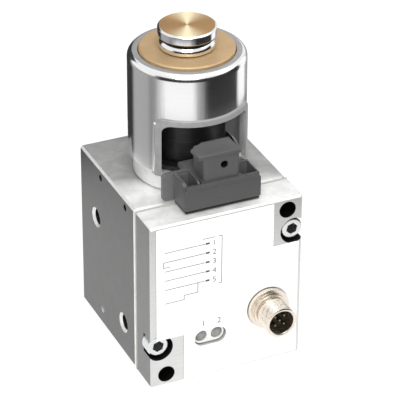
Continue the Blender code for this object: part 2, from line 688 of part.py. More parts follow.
def connector_pins(finish):
    face = CONNECTOR_REACH - CONNECTOR_BORE_DEPTH + SEAT_GAP + CONNECTOR_WALL
    tip = face + PIN_RISE
    end = -(BOARD_SETBACK - SEAT_GAP)
    point = PIN_RADIUS / 2
    profile = [(0, tip), (point, tip), (PIN_RADIUS, tip - PIN_RADIUS), (PIN_RADIUS, end), (0, end)]
    for number, (dx, dz) in enumerate(pin_places(), 1):
        place = (CONNECTOR_X + dx, FRONT_Y, CONNECTOR_Z + dz)
        add_object(f"connector_pin_{number}", to_front(turned(profile, 12)), place, finish)


def connector_nut(finish):
    near = COVER_FRONT_WALL + SEAT_GAP
    corner = NUT_FLATS / 2 / math.cos(math.pi / 6)
    bm = to_front(prism(circle_outline(corner, 6), -near - NUT_THICKNESS, -near))
    place = (CONNECTOR_X, FRONT_Y, CONNECTOR_Z)
    nut = add_object("connector_nut", bm, place, finish, smooth=False)
    bore = rod(CONNECTOR_THREAD_RADIUS + SEAT_GAP, -near - NUT_THICKNESS - OVERRUN, OVERRUN, MEDIUM)
    combine(nut, to_front(bore), place)
    return nut


# Indicators and electronics

def led_offsets():
    return -LED_PITCH / 2, LED_PITCH / 2


def indicator_insert(finish):
    """White stadium plate in the window, with a hole for each indicator."""
    near = WINDOW_RECESS
    far = WINDOW_RECESS + INDICATOR_THICKNESS
    outline = rounded_outline(
        WINDOW_LENGTH - 2 * SEAT_GAP, WINDOW_HEIGHT - 2 * SEAT_GAP, WINDOW_HEIGHT / 2 - SEAT_GAP, 8
    )
    place = (WINDOW_X, FRONT_Y, WINDOW_Z)
    insert = add_object("indicator_insert", front_prism(outline, near, far), place, finish)
    for dx in led_offsets():
        hole = to_front(rod(LED_RADIUS + SEAT_GAP / 2, -far - OVERRUN, OVERRUN, COARSE))
        combine(insert, hole, (WINDOW_X + dx, FRONT_Y, WINDOW_Z))
    return insert


def indicator_lights(finish):
    """Two light pipes that run from the window back to the board."""
    face = -(WINDOW_RECESS - SEAT_GAP)
    end = -(BOARD_SETBACK - SEAT_GAP)
    dome = EDGE_BEVEL
    profile = [(0, face), (LED_RADIUS - dome, face), (LED_RADIUS, face - dome), (LED_RADIUS, end), (0, end)]
    for name, dx in zip(("indicator_left", "indicator_right"), led_offsets()):
        place = (WINDOW_X + dx, FRONT_Y, WINDOW_Z)
        add_object(name, to_front(turned(profile, COARSE)), place, finish)


def circuit_board(finish):
    near = BOARD_Y
    far = BOARD_Y + BOARD_THICKNESS
    board = add_object("circuit_board", front_prism(cavity_outline(BOARD_MARGIN), near, far), finish=finish)
    for x, z in board_screw_places():
        hole = to_front(rod(BOARD_SCREW_RADIUS + SEAT_GAP, -far - OVERRUN, -near + OVERRUN, 16))
        combine(board, hole, (x, 0, z))
    return board


def board_screws(finish):
    under_head = -(BOARD_Y + BOARD_THICKNESS + SEAT_GAP)
    top = under_head - BOARD_SCREW_HEAD_HEIGHT
    tip = -(FRONT_Y + COVER_FRONT_WALL + SEAT_GAP)
    profile = [
        (0, tip), (BOARD_SCREW_RADIUS, tip), (BOARD_SCREW_RADIUS, under_head),
        (BOARD_SCREW_HEAD_RADIUS, under_head), (BOARD_SCREW_HEAD_RADIUS, top), (0, top),
    ]
    for number, (x, z) in enumerate(board_screw_places(), 1):
        add_object(f"board_screw_{number}", to_front(turned(profile, 16)), (x, 0, z), finish)


def pressure_sensor(finish):
    """A flat can on the body's front with a stub in the tapping to the outlet chamber."""
    can_near = -(BOARD_Y + BOARD_THICKNESS + SEAT_GAP)
    can_far = -(BODY_FRONT_Y - SEAT_GAP)
    stub_end = -(BODY_FRONT_Y + SENSOR_STUB_LENGTH)
    groove = SENSOR_STUB_RADIUS - SEAL_CORD_RADIUS
    groove_near = -(BODY_FRONT_Y + SENSOR_STUB_LENGTH / 2 - SEAL_CORD_RADIUS - SEAT_GAP)
    groove_far = -(BODY_FRONT_Y + SENSOR_STUB_LENGTH / 2 + SEAL_CORD_RADIUS + SEAT_GAP)
    bore = SENSOR_STUB_RADIUS / 4
    bore_end = groove_near + SEAL_CORD_RADIUS
    profile = [
        (0, can_near), (SENSOR_RADIUS, can_near), (SENSOR_RADIUS, can_far),
        (SENSOR_STUB_RADIUS, can_far), (SENSOR_STUB_RADIUS, groove_near), (groove, groove_near),
        (groove, groove_far), (SENSOR_STUB_RADIUS, groove_far),
        (SENSOR_STUB_RADIUS, stub_end), (bore, stub_end), (bore, bore_end), (0, bore_end),
    ]
    z = (PISTON_FLOOR_Z + SEAT_SHOULDER_Z) / 2
    return add_object("pressure_sensor", to_front(turned(profile, COARSE)), (0, 0, z), finish)


def sensor_seal(finish):
    cord = (SEAL_CORD_RADIUS + SEAT_GAP) / 2
    radius = SENSOR_STUB_RADIUS - SEAL_CORD_RADIUS + cord + SEAT_GAP / 3
    z = (PISTON_FLOOR_Z + SEAT_SHOULDER_Z) / 2
    place = (0, BODY_FRONT_Y + SENSOR_STUB_LENGTH / 2, z)
    return add_object("sensor_seal", to_front(ring_seal(radius, cord - SEAT_GAP / 3, COARSE)), place, finish)


# Valve

def port_seals(finish):
    """Sealing rings in the grooves of the back face, just below the face."""
    radius = PORT_GROOVE_INNER + PORT_GROOVE_WIDTH / 2
    y = BACK_Y - SEAT_GAP / 2 - SEAL_CORD_RADIUS
    ports = (("exhaust", EXHAUST_PORT_Z), ("supply", INLET_PORT_Z), ("outlet", OUTLET_PORT_Z))
    for name, z in ports:
        add_object(f"port_seal_{name}", to_front(ring_seal(radius, SEAL_CORD_RADIUS)), (0, y, z), finish)


def seat_ring(finish):
    """Valve seat against the shoulder under the outlet chamber."""
    top = SEAT_BASE_Z + SEAT_THICKNESS
    outer = INLET_BORE_RADIUS - SEAT_GAP
    groove = outer - 2 * SEAL_CORD_RADIUS
    middle = (SEAT_BASE_Z + top) / 2
    half = SEAL_CORD_RADIUS + SEAT_GAP / 2
    lip = SEAT_OPENING_RADIUS + SEAT_GAP
    profile = [
        (SEAT_OPENING_RADIUS + EDGE_BEVEL, top), (outer, top), (outer, middle + half),
        (groove, middle + half), (groove, middle - half), (outer, middle - half),
        (outer, SEAT_BASE_Z + EDGE_BEVEL), (lip + EDGE_BEVEL, SEAT_BASE_Z + EDGE_BEVEL),
        (lip, SEAT_BASE_Z), (SEAT_OPENING_RADIUS, SEAT_BASE_Z), (SEAT_OPENING_RADIUS, top - EDGE_BEVEL),
    ]
    return add_object("seat_ring", turned(profile, MEDIUM), (0, VALVE_Y, 0), finish)


def groove_seal(name, outer, z, finish):
    """Sealing ring centred in a groove whose floor is two cord radii below its wall."""
    radius = outer - SEAL_CORD_RADIUS
    return add_object(name, ring_seal(radius, SEAL_CORD_RADIUS - SEAT_GAP / 2), (0, VALVE_Y, z), finish)


def plug_seal_heights():
    middle = EXHAUST_PORT_Z
    reach = PORT_RADIUS / 2 + 3 * SEAL_CORD_RADIUS
    return middle - reach, middle + reach


def bottom_plug(finish):
    """Plug that closes the bore, guides the poppet and leads its vent to the exhaust port."""
    outer = INLET_BORE_RADIUS - SEAT_GAP
    groove = outer - 2 * SEAL_CORD_RADIUS
    half = SEAL_CORD_RADIUS + SEAT_GAP / 2
    low, high = plug_seal_heights()
    ring_floor = outer - SEAL_CORD_RADIUS
    ring_half = PORT_RADIUS / 2
    guide = POPPET_TAIL_RADIUS + RUN_GAP
    profile = [
        (guide, PLUG_TOP_Z), (outer - EDGE_BEVEL, PLUG_TOP_Z), (outer, PLUG_TOP_Z - EDGE_BEVEL),
        (outer, high + half), (groove, high + half), (groove, high - half), (outer, high - half),
        (outer, EXHAUST_PORT_Z + ring_half), (ring_floor, EXHAUST_PORT_Z + ring_half),
        (ring_floor, EXHAUST_PORT_Z - ring_half), (outer, EXHAUST_PORT_Z - ring_half),
        (outer, low + half), (groove, low + half), (groove, low - half), (outer, low - half),
        (outer, PLUG_BASE_Z), (0, PLUG_BASE_Z),
        (0, PLUG_BASE_Z + PLUG_FLOOR), (guide, PLUG_BASE_Z + PLUG_FLOOR),
    ]
    plug = add_object("bottom_plug", turned(profile, MEDIUM), (0, VALVE_Y, 0), finish)
    vent = to_front(rod(PORT_RADIUS / 2.5, -INLET_BORE_RADIUS - OVERRUN, 0, 16))
    combine(plug, vent, (0, VALVE_Y, EXHAUST_PORT_Z))
    return plug


def bottom_circlip(finish):
    """Snap ring in its groove, with an open gap."""
    outer = INLET_BORE_RADIUS + CIRCLIP_GROOVE_DEPTH - SEAT_GAP
    inner = outer - CIRCLIP_RADIAL
    top = CIRCLIP_INSET + CIRCLIP_THICKNESS
    bm = tube(outer, inner, CIRCLIP_INSET, top, MEDIUM)
    clip = add_object("bottom_circlip", bm, (0, VALVE_Y, 0), finish)
    reach = outer + OVERRUN
    gap = box(-CIRCLIP_RADIAL, CIRCLIP_RADIAL, -reach, 0, CIRCLIP_INSET - OVERRUN, top + OVERRUN)
    combine(clip, gap, (0, VALVE_Y, 0))
    return clip


def valve_axis(name, z):
    """Empty on the valve's axis that carries the pieces of one sliding body."""
    axis = bpy.data.objects.new(name, None)
    axis.location = (0, VALVE_Y, z)
    bpy.context.scene.collection.objects.link(axis)
    return axis


def hang(piece, carrier):
    """Parent a piece to a sliding body without moving it."""
    piece.parent = carrier
    piece.location = Vector(piece.location) - Vector(carrier.location)
    return piece


def control_piston(finish):
    """Piston between the solenoid's rod and the outlet pressure, with the valve stem under it."""
    outer = PISTON_BORE_RADIUS - RUN_GAP
    groove = outer - 2 * SEAL_CORD_RADIUS
    half = SEAL_CORD_RADIUS + SEAT_GAP / 2
    base = PISTON_TOP_Z - PISTON_THICKNESS
    middle = PISTON_TOP_Z - PISTON_THICKNESS / 2
    tip = POPPET_TOP_Z + STEM_TO_POPPET
    profile = [
        (0, PISTON_TOP_Z), (outer - EDGE_BEVEL, PISTON_TOP_Z), (outer, PISTON_TOP_Z - EDGE_BEVEL),
        (outer, middle + half), (groove, middle + half), (groove, middle - half), (outer, middle - half),
        (outer, base + EDGE_BEVEL), (outer - EDGE_BEVEL, base), (STEM_RADIUS + EDGE_BEVEL, base),
        (STEM_RADIUS, base - EDGE_BEVEL), (STEM_RADIUS, tip + EDGE_BEVEL),
        (STEM_RADIUS - EDGE_BEVEL, tip), (0, tip),
    ]
    return add_object("control_piston", turned(profile, MEDIUM), (0, VALVE_Y, 0), finish)


def poppet(finish):
    """Hollow poppet: a disc under the seat and a tail in the plug's guide."""
    top = POPPET_TOP_Z - POPPET_RUBBER_THICKNESS - SEAT_GAP
    under = top - POPPET_THICKNESS
    end = under - POPPET_TAIL_LENGTH
    profile = [
        (POPPET_VENT_RADIUS, top), (POPPET_RADIUS, top), (POPPET_RADIUS, under),
        (POPPET_TAIL_RADIUS, under), (POPPET_TAIL_RADIUS, end), (POPPET_VENT_RADIUS, end),
    ]
    return add_object("poppet", turned(profile, COARSE), (0, VALVE_Y, 0), finish)


def poppet_rubber(finish):
    low = POPPET_TOP_Z - POPPET_RUBBER_THICKNESS
    bm = tube(POPPET_RADIUS, POPPET_VENT_RADIUS, low, POPPET_TOP_Z, COARSE)
    return add_object("poppet_rubber", bm, (0, VALVE_Y, 0), finish)


def coil_spring(name, radius, wire, low, high, turns, finish):
    """Compression spring: a round wire swept along a helix about the valve's axis."""
    steps = 10
    sides = 5
    bottom = low + wire
    rise = high - low - 2 * wire
    count = int(turns * steps)
    slope = math.atan2(rise / turns, 2 * math.pi * radius)
    bm = bmesh.new()
    rings = []
    for k in range(count + 1):
        angle = 2 * math.pi * turns * k / count
        out = Vector((math.cos(angle), math.sin(angle), 0))
        level = Vector((-math.sin(angle), math.cos(angle), 0))
        along = level * math.cos(slope) + Vector((0, 0, math.sin(slope)))
        up = along.cross(out) * -1
        centre = out * radius + Vector((0, 0, bottom + rise * k / count))
        ring = []
        for s in range(sides):
            turn = 2 * math.pi * s / sides
            ring.append(bm.verts.new(centre + wire * (math.cos(turn) * out + math.sin(turn) * up)))
        rings.append(ring)
    for near, far in zip(rings, rings[1:]):
        for s in range(sides):
            t = (s + 1) % sides
            bm.faces.new((near[s], near[t], far[t], far[s]))
    bm.faces.new(rings[0])
    bm.faces.new(rings[-1])
    return add_object(name, bm, (0, VALVE_Y, 0), finish)


# Solenoid

def pole_flange(finish):
    """Lower pole: spigot in the block, round foot under the pot and pole inside the coil."""
    spigot = SPIGOT_BORE_RADIUS - SEAT_GAP
    groove = spigot - 2 * SEAL_CORD_RADIUS
    half = SEAL_CORD_RADIUS + SEAT_GAP / 2
    middle = (SPIGOT_BASE_Z + BLOCK_HEIGHT) / 2
    foot = BLOCK_HEIGHT + SEAT_GAP
    rod_bore = ROD_RADIUS + RUN_GAP
    spring_seat = RETURN_COIL_RADIUS + RETURN_WIRE_RADIUS + SEAT_GAP
    seat_floor = POLE_TOP_Z - RETURN_SEAT_DEPTH
    profile = [
        (spring_seat, POLE_TOP_Z), (POLE_RADIUS - EDGE_BEVEL, POLE_TOP_Z),
        (POLE_RADIUS, POLE_TOP_Z - EDGE_BEVEL),
        (POLE_RADIUS, FLANGE_TOP_Z), (FLANGE_RADIUS - EDGE_BEVEL, FLANGE_TOP_Z),
        (FLANGE_RADIUS, FLANGE_TOP_Z - EDGE_BEVEL), (FLANGE_RADIUS, foot + EDGE_BEVEL),
        (FLANGE_RADIUS - EDGE_BEVEL, foot), (spigot, foot), (spigot, middle + half),
        (groove, middle + half), (groove, middle - half), (spigot, middle - half),
        (spigot, SPIGOT_BASE_Z + EDGE_BEVEL), (spigot - EDGE_BEVEL, SPIGOT_BASE_Z),
        (rod_bore, SPIGOT_BASE_Z), (rod_bore, seat_floor), (spring_seat, seat_floor),
    ]
    return add_object("pole_flange", turned(profile, MEDIUM), (0, VALVE_Y, 0), finish)


def magnet_pot(finish):
    """Steel pot: open at the foot, rounded over at the top, with a window for the plug."""
    inner = POT_RADIUS - POT_WALL
    land_base = POT_TOP_Z - TOP_LAND_THICKNESS
    profile = [(POT_MOUTH_RADIUS, land_base), (POT_MOUTH_RADIUS, POT_TOP_Z)]
    steps = 6
    for k in range(steps + 1):
        angle = math.pi / 2 * (1 - k / steps)
        profile.append((
            POT_RADIUS - POT_ROUNDING + POT_ROUNDING * math.cos(angle),
            POT_TOP_Z - POT_ROUNDING + POT_ROUNDING * math.sin(angle),
        ))
    foot = EDGE_BEVEL * 2
    profile += [
        (POT_RADIUS, POT_BASE_Z + foot), (POT_RADIUS - foot, POT_BASE_Z),
        (inner, POT_BASE_Z), (inner, land_base),
    ]
    pot = add_object("magnet_pot", turned(profile, FINE), (0, VALVE_Y, 0), finish)
    window_top = POT_BASE_Z + POT_WINDOW_HEIGHT
    lip_top = window_top + POT_LIP_TOP
    lip_outer = POT_RADIUS + POT_LIP_RISE
    in_wall = inner + POT_WALL / 2
    lip_band = turned([
        (in_wall, lip_top), (lip_outer - POT_LIP_RISE / 2, lip_top),
        (lip_outer, lip_top - POT_LIP_RISE / 2), (lip_outer, POT_BASE_Z), (in_wall, POT_BASE_Z),
    ], FINE)
    lip = combine(pot, lip_band, (0, VALVE_Y, 0), "UNION")
    lip_width = POT_WINDOW_WIDTH + 2 * POT_LIP_SIDE
    lip_rounding = POT_WINDOW_ROUNDING + POT_LIP_SIDE
    clip = window_shape(lip_width, lip_top + OVERRUN, lip_rounding)
    combine(lip, clip, (0, VALVE_Y, 0), "INTERSECT")
    opening = window_shape(POT_WINDOW_WIDTH, window_top, POT_WINDOW_ROUNDING)
    combine(pot, opening, (0, VALVE_Y, 0))
    return pot


def window_shape(width, top, rounding):
    """Upright slab with round upper corners, from below the pot's foot, on its front side."""
    base = BLOCK_HEIGHT
    outline = [
        (x, z + (top + base) / 2) for x, z in rounded_outline(width, top - base, rounding, 5, lower=False)
    ]
    return front_prism(outline, -POT_RADIUS - 2 * OVERRUN, -POT_RADIUS / 4)


def top_plate(finish):
    """Yellow-passivated plate that closes the pot, stepped to sit under its land."""
    low = PLATE_TOP_Z - TOP_PLATE_THICKNESS
    step = POT_TOP_Z - TOP_LAND_THICKNESS - SEAT_GAP
    wide = POT_RADIUS - POT_WALL - SEAT_GAP
    hole = TUBE_OUTER_RADIUS + SEAT_GAP
    profile = [
        (hole, PLATE_TOP_Z), (TOP_PLATE_RADIUS - EDGE_BEVEL, PLATE_TOP_Z),
        (TOP_PLATE_RADIUS, PLATE_TOP_Z - EDGE_BEVEL), (TOP_PLATE_RADIUS, step),
        (wide, step), (wide, low), (hole, low),
    ]
    return add_object("top_plate", turned(profile, FINE), (0, VALVE_Y, 0), finish)


def retaining_nut(finish):
    low = PLATE_TOP_Z + SEAT_GAP
    bm = tube(NUT_RING_RADIUS, TUBE_OUTER_RADIUS + SEAT_GAP, low, NUT_TOP_Z, FINE, EDGE_BEVEL)
    return add_object("retaining_nut", bm, (0, VALVE_Y, 0), finish)


def end_cap(finish):
    """Cap on the guide tube, chamfered round its turned face, with the armature's stop inside."""
    top = CAP_BASE_Z + CAP_HEIGHT
    stem_end = ARMATURE_Z + ARMATURE_LENGTH + SEAT_GAP
    inner = TUBE_INNER_RADIUS - SEAT_GAP
    profile = [
        (0, top), (CAP_RADIUS - CAP_CHAMFER, top), (CAP_RADIUS, top - CAP_CHAMFER / 2),
        (CAP_RADIUS, CAP_BASE_Z + EDGE_BEVEL), (CAP_RADIUS - EDGE_BEVEL, CAP_BASE_Z),
        (inner, CAP_BASE_Z), (inner, stem_end), (0, stem_end),
    ]
    return add_object("end_cap", turned(profile, FINE), (0, VALVE_Y, 0), finish)


def guide_tube(finish):
    low = FLANGE_TOP_Z + SEAT_GAP
    bm = tube(TUBE_OUTER_RADIUS, TUBE_INNER_RADIUS, low, CAP_BASE_Z - SEAT_GAP, COARSE)
    return add_object("guide_tube", bm, (0, VALVE_Y, 0), finish)


def bobbin_span():
    """Lower and upper end of the coil former, between the foot and the top plate."""
    return FLANGE_TOP_Z + 2 * SEAT_GAP, PLATE_TOP_Z - TOP_PLATE_THICKNESS - SEAT_GAP


def coil_bobbin(finish):
    low, high = bobbin_span()
    inner = TUBE_OUTER_RADIUS + SEAT_GAP
    core = inner + BOBBIN_WALL
    profile = [
        (inner, high), (BOBBIN_RADIUS, high),
        (BOBBIN_RADIUS, high - BOBBIN_FLANGE), (core, high - BOBBIN_FLANGE),
        (core, low + BOBBIN_FLANGE), (BOBBIN_RADIUS, low + BOBBIN_FLANGE),
        (BOBBIN_RADIUS, low), (inner, low),
    ]
    return add_object("coil_bobbin", turned(profile, MEDIUM), (0, VALVE_Y, 0), finish)


def coil_winding(finish):
    low, high = bobbin_span()
    inner = TUBE_OUTER_RADIUS + BOBBIN_WALL + 2 * SEAT_GAP
    bottom = low + BOBBIN_FLANGE + SEAT_GAP
    top = high - BOBBIN_FLANGE - SEAT_GAP
    bm = tube(WINDING_RADIUS, inner, bottom, top, MEDIUM, EDGE_BEVEL)
    return add_object("coil_winding", bm, (0, VALVE_Y, 0), finish)


def armature(finish):
    top = ARMATURE_Z + ARMATURE_LENGTH
    socket = ROD_RADIUS + SEAT_GAP
    socket_top = ARMATURE_Z + ROD_SOCKET_DEPTH
    profile = [
        (0, top), (POLE_RADIUS - EDGE_BEVEL, top), (POLE_RADIUS, top - EDGE_BEVEL),
        (POLE_RADIUS, ARMATURE_Z + EDGE_BEVEL), (POLE_RADIUS - EDGE_BEVEL, ARMATURE_Z),
        (socket, ARMATURE_Z), (socket, socket_top), (0, socket_top),
    ]
    return add_object("armature", turned(profile, COARSE), (0, VALVE_Y, 0), finish)


def push_rod(finish):
    low = PISTON_TOP_Z + SEAT_GAP
    high = ARMATURE_Z + ROD_SOCKET_DEPTH - SEAT_GAP
    return add_object("push_rod", rod(ROD_RADIUS, low, high, 16), (0, VALVE_Y, 0), finish)


# Plug housing

def shield_outline():
    """The shield from the front: its left top corner is rounded and its right one is cut straight across."""
    corner_steps = 4
    half_width = SHIELD_WIDTH / 2
    half_height = SHIELD_HEIGHT / 2
    cut = [(half_width, half_height - SHIELD_CUT_Z), (half_width - SHIELD_CUT_X, half_height)]
    rounded = rounded_outline(SHIELD_WIDTH, SHIELD_HEIGHT, 2 * POCKET_WALL, corner_steps, lower=False)
    right_corner_points = corner_steps + 1
    return cut + rounded[right_corner_points:]


def plug_housing(finish):
    """Moulded housing: foot over the cover, shield before the coil, tower with its lid."""
    half = HOUSING_WIDTH / 2
    back = HOUSING_FRONT_Y + HOUSING_DEPTH
    bm = box(-half, half, HOUSING_FRONT_Y, back - EDGE_BEVEL, HOUSING_BASE_Z, HOUSING_TOP_Z, 2 * EDGE_BEVEL)
    housing = add_object("plug_housing", bm, finish=finish)
    combine(housing, front_prism(shield_outline(), 0, SHIELD_THICKNESS),
            (0, SHIELD_Y, HOUSING_BASE_Z + SHIELD_HEIGHT / 2), "UNION")
    neck_z = bobbin_span()[0] + BOBBIN_FLANGE + SEAT_GAP
    neck_back = VALVE_Y - WINDING_RADIUS - SEAT_GAP
    neck = box(-NECK_WIDTH / 2, NECK_WIDTH / 2, back - SHIELD_THICKNESS, neck_back,
               neck_z, HOUSING_BASE_Z + SHIELD_HEIGHT - EDGE_BEVEL)
    combine(housing, neck, (0, 0, 0), "UNION")
    tower_front = HOUSING_FRONT_Y + TOWER_SETBACK
    tower_top = HOUSING_BASE_Z + TOWER_HEIGHT
    tower = box(-TOWER_WIDTH / 2, TOWER_WIDTH / 2, tower_front, tower_front + TOWER_DEPTH,
                HOUSING_TOP_Z - 2 * OVERRUN, tower_top)
    for side in (-1, 1):
        inner = TOWER_WIDTH / 2 + HOUSING_RIM_WALL
        outer = half - POCKET_WALL
        rim = box(*sorted((side * (TOWER_WIDTH / 2 - OVERRUN), side * (outer + HOUSING_RIM_WALL / 2))),
                  HOUSING_FRONT_Y + HOUSING_RIM_WALL / 2, SHIELD_Y + OVERRUN / 2,
                  HOUSING_TOP_Z - OVERRUN, HOUSING_TOP_Z + HOUSING_RIM)
        combine(housing, rim, (0, 0, 0), "UNION")
        x0, x1 = sorted((side * inner, side * outer))
        pocket = box(x0, x1, HOUSING_FRONT_Y + HOUSING_RIM_WALL / 2 + HOUSING_RIM_WALL,
                     SHIELD_Y - HOUSING_RIM_WALL / 2, HOUSING_TOP_Z - POCKET_DEPTH,
                     HOUSING_TOP_Z + HOUSING_RIM + OVERRUN)
        combine(housing, pocket, (0, 0, 0))
    combine(housing, tower, (0, 0, 0), "UNION")
    combine(housing, lid_shape(tower_front, tower_top), (0, 0, 0), "UNION")
    scoop_back = -HOUSING_DEPTH + SHIELD_THICKNESS + HOUSING_RIM_WALL
    scoop = to_front(rod(POCKET_DEPTH, scoop_back, -HOUSING_RIM_WALL, MEDIUM))
    combine(housing, scoop, (-half + POCKET_WALL / 2, HOUSING_FRONT_Y, HOUSING_TOP_Z + POCKET_DEPTH * 0.72))
    keyhole = to_front(rod(KEYHOLE_RADIUS, -KEYHOLE_DEPTH, OVERRUN, 20))
    combine(housing, keyhole, (KEYHOLE_X, tower_front, tower_top - KEYHOLE_DROP))
    for x in terminal_places():
        slot = box(-TERMINAL_WIDTH / 2 - SEAT_GAP, TERMINAL_WIDTH / 2 + SEAT_GAP,
                   -TERMINAL_THICKNESS / 2 - SEAT_GAP, TERMINAL_THICKNESS / 2 + SEAT_GAP,
                   -OVERRUN, TERMINAL_DROP / 2 + SEAT_GAP)
        combine(housing, slot, (x, terminal_y(), HOUSING_BASE_Z))
    return housing


def housing_gasket(finish):
    """Flat seal between the housing and the block, with a slot for each blade."""
    half = HOUSING_WIDTH / 2 - HOUSING_GASKET_INSET
    near = HOUSING_FRONT_Y + HOUSING_GASKET_INSET
    far = SHIELD_Y
    bm = box(-half, half, near, far, BLOCK_HEIGHT + SEAT_GAP, HOUSING_BASE_Z - SEAT_GAP)
    seal = add_object("housing_gasket", bm, finish=finish, smooth=False)
    for x in terminal_places():
        half_x = TERMINAL_WIDTH / 2 + SEAT_GAP
        half_y = TERMINAL_THICKNESS / 2 + SEAT_GAP
        slot = box(-half_x, half_x, -half_y, half_y, -OVERRUN, HOUSING_LIFT + OVERRUN)
        combine(seal, slot, (x, terminal_y(), BLOCK_HEIGHT))
    return seal


def lid_shape(front, base):
    """Lid of the tower: it hangs over on the left and its rear left corner is cut off."""
    left = -TOWER_WIDTH / 2 - LID_OVERHANG
    right = TOWER_WIDTH / 2 + EDGE_BEVEL / 2
    near = front - EDGE_BEVEL / 2
    far = front + TOWER_DEPTH + EDGE_BEVEL / 2
    cut_corner = [(left + LID_CORNER_X, far), (left, far - LID_CORNER_Y)]
    outline = [(left, near), (right, near), (right, far)] + cut_corner
    bm = prism(outline, base - EDGE_BEVEL, base + LID_THICKNESS)
    top_edges = [e for e in bm.edges if all(v.co.z > base + LID_THICKNESS / 2 for v in e.verts)]
    bmesh.ops.bevel(bm, geom=top_edges, offset=1.5 * EDGE_BEVEL, segments=2, affect="EDGES")
    return bm


def coil_terminals(finish):
    """Flat blades from the housing down into the cover, where the board takes the coil's current."""
    top = HOUSING_BASE_Z + TERMINAL_DROP / 2
    low = BLOCK_HEIGHT - TERMINAL_DROP
    half_x = TERMINAL_WIDTH / 2
    half_y = TERMINAL_THICKNESS / 2
    for number, x in enumerate(terminal_places(), 1):
        bm = box(-half_x, half_x, -half_y, half_y, low, top)
        add_object(f"coil_terminal_{number}", bm, (x, terminal_y(), 0), finish, smooth=False)


def build():
    clear_scene()
    cast = material("blasted aluminium", (0.40, 0.40, 0.40), 0.45, 1.0)
    milled = material("milled aluminium", (0.62, 0.62, 0.62), 0.35, 1.0)
    polished = material("polished steel", (0.60, 0.60, 0.60), 0.12, 1.0)
    bright = material("bright turned steel", (0.75, 0.75, 0.74), 0.20, 1.0)
    zinc = material("zinc plated steel", (0.65, 0.66, 0.67), 0.30, 1.0)
    yellow = material("yellow passivated steel", (0.62, 0.43, 0.20), 0.40, 1.0)
    nickel = material("nickel plated brass", (0.76, 0.68, 0.58), 0.25, 1.0)
    gold = material("gold plated contact", (0.80, 0.60, 0.25), 0.25, 1.0)
    brass = material("brass", (0.70, 0.52, 0.25), 0.30, 1.0)
    rubber = material("black rubber", (0.02, 0.02, 0.02), 0.70)
    gasket = material("fibre gasket", (0.45, 0.45, 0.44), 0.80)
    film = material("white label film", (0.90, 0.90, 0.90), 0.50)
    white = material("white plastic", (0.85, 0.85, 0.85), 0.50)
    lens = material("grey light pipe", (0.25, 0.25, 0.25), 0.20)
    plastic = material("dark grey plastic", (0.08, 0.08, 0.08), 0.45)
    insulator = material("black plastic", (0.012, 0.012, 0.012), 0.50)
    board = material("green circuit board", (0.02, 0.16, 0.06), 0.50)
    tape = material("black coil tape", (0.01, 0.01, 0.01), 0.60)
    spring_steel = material("spring steel", (0.50, 0.50, 0.50), 0.25, 1.0)

    valve_body(cast)
    cover_gasket(gasket)
    front_cover(milled)
    label_film(film)
    lower, upper = screw_places()
    cover_screw("cover_screw_lower", lower, zinc)
    cover_screw("cover_screw_upper", upper, zinc)

    connector_shell(nickel)
    connector_seal(rubber)
    connector_insert(insulator)
    connector_pins(gold)
    connector_nut(nickel)
    indicator_insert(white)
    indicator_lights(lens)
    circuit_board(board)
    board_screws(zinc)
    pressure_sensor(zinc)
    sensor_seal(rubber)

    port_seals(rubber)
    seat_ring(brass)
    groove_seal("seat_seal", INLET_BORE_RADIUS - SEAT_GAP, SEAT_BASE_Z + SEAT_THICKNESS / 2, rubber)
    bottom_plug(brass)
    for name, z in zip(("plug_seal_lower", "plug_seal_upper"), plug_seal_heights()):
        groove_seal(name, INLET_BORE_RADIUS - SEAT_GAP, z, rubber)
    bottom_circlip(spring_steel)

    pole_flange(bright)
    groove_seal("flange_seal", SPIGOT_BORE_RADIUS - SEAT_GAP, (SPIGOT_BASE_Z + BLOCK_HEIGHT) / 2, rubber)
    magnet_pot(polished)
    top_plate(yellow)
    retaining_nut(bright)
    end_cap(bright)
    guide_tube(zinc)
    coil_bobbin(insulator)
    coil_winding(tape)
    plug_housing(plastic)
    housing_gasket(rubber)
    coil_terminals(brass)

    plunger = valve_axis("plunger_axis", ARMATURE_Z)
    hang(armature(zinc), plunger)
    hang(push_rod(bright), plunger)
    hang(control_piston(brass), plunger)
    piston_middle = PISTON_TOP_Z - PISTON_THICKNESS / 2
    hang(groove_seal("piston_seal", PISTON_BORE_RADIUS - RUN_GAP, piston_middle, rubber), plunger)
    low = POLE_TOP_Z - RETURN_SEAT_DEPTH + SEAT_GAP
    hang(coil_spring("return_spring", RETURN_COIL_RADIUS, RETURN_WIRE_RADIUS, low,
                     ARMATURE_Z - SEAT_GAP, RETURN_TURNS, spring_steel), plunger)

    closing = valve_axis("poppet_axis", POPPET_TOP_Z)
    hang(poppet(brass), closing)
    hang(poppet_rubber(rubber), closing)
    under = POPPET_TOP_Z - POPPET_RUBBER_THICKNESS - SEAT_GAP - POPPET_THICKNESS
    hang(coil_spring("poppet_spring", POPPET_COIL_RADIUS, POPPET_WIRE_RADIUS, PLUG_TOP_Z + SEAT_GAP,
                     under - SEAT_GAP, POPPET_TURNS, spring_steel), closing)


build()
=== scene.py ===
import math

import bmesh
import bpy
from mathutils import Matrix, Vector


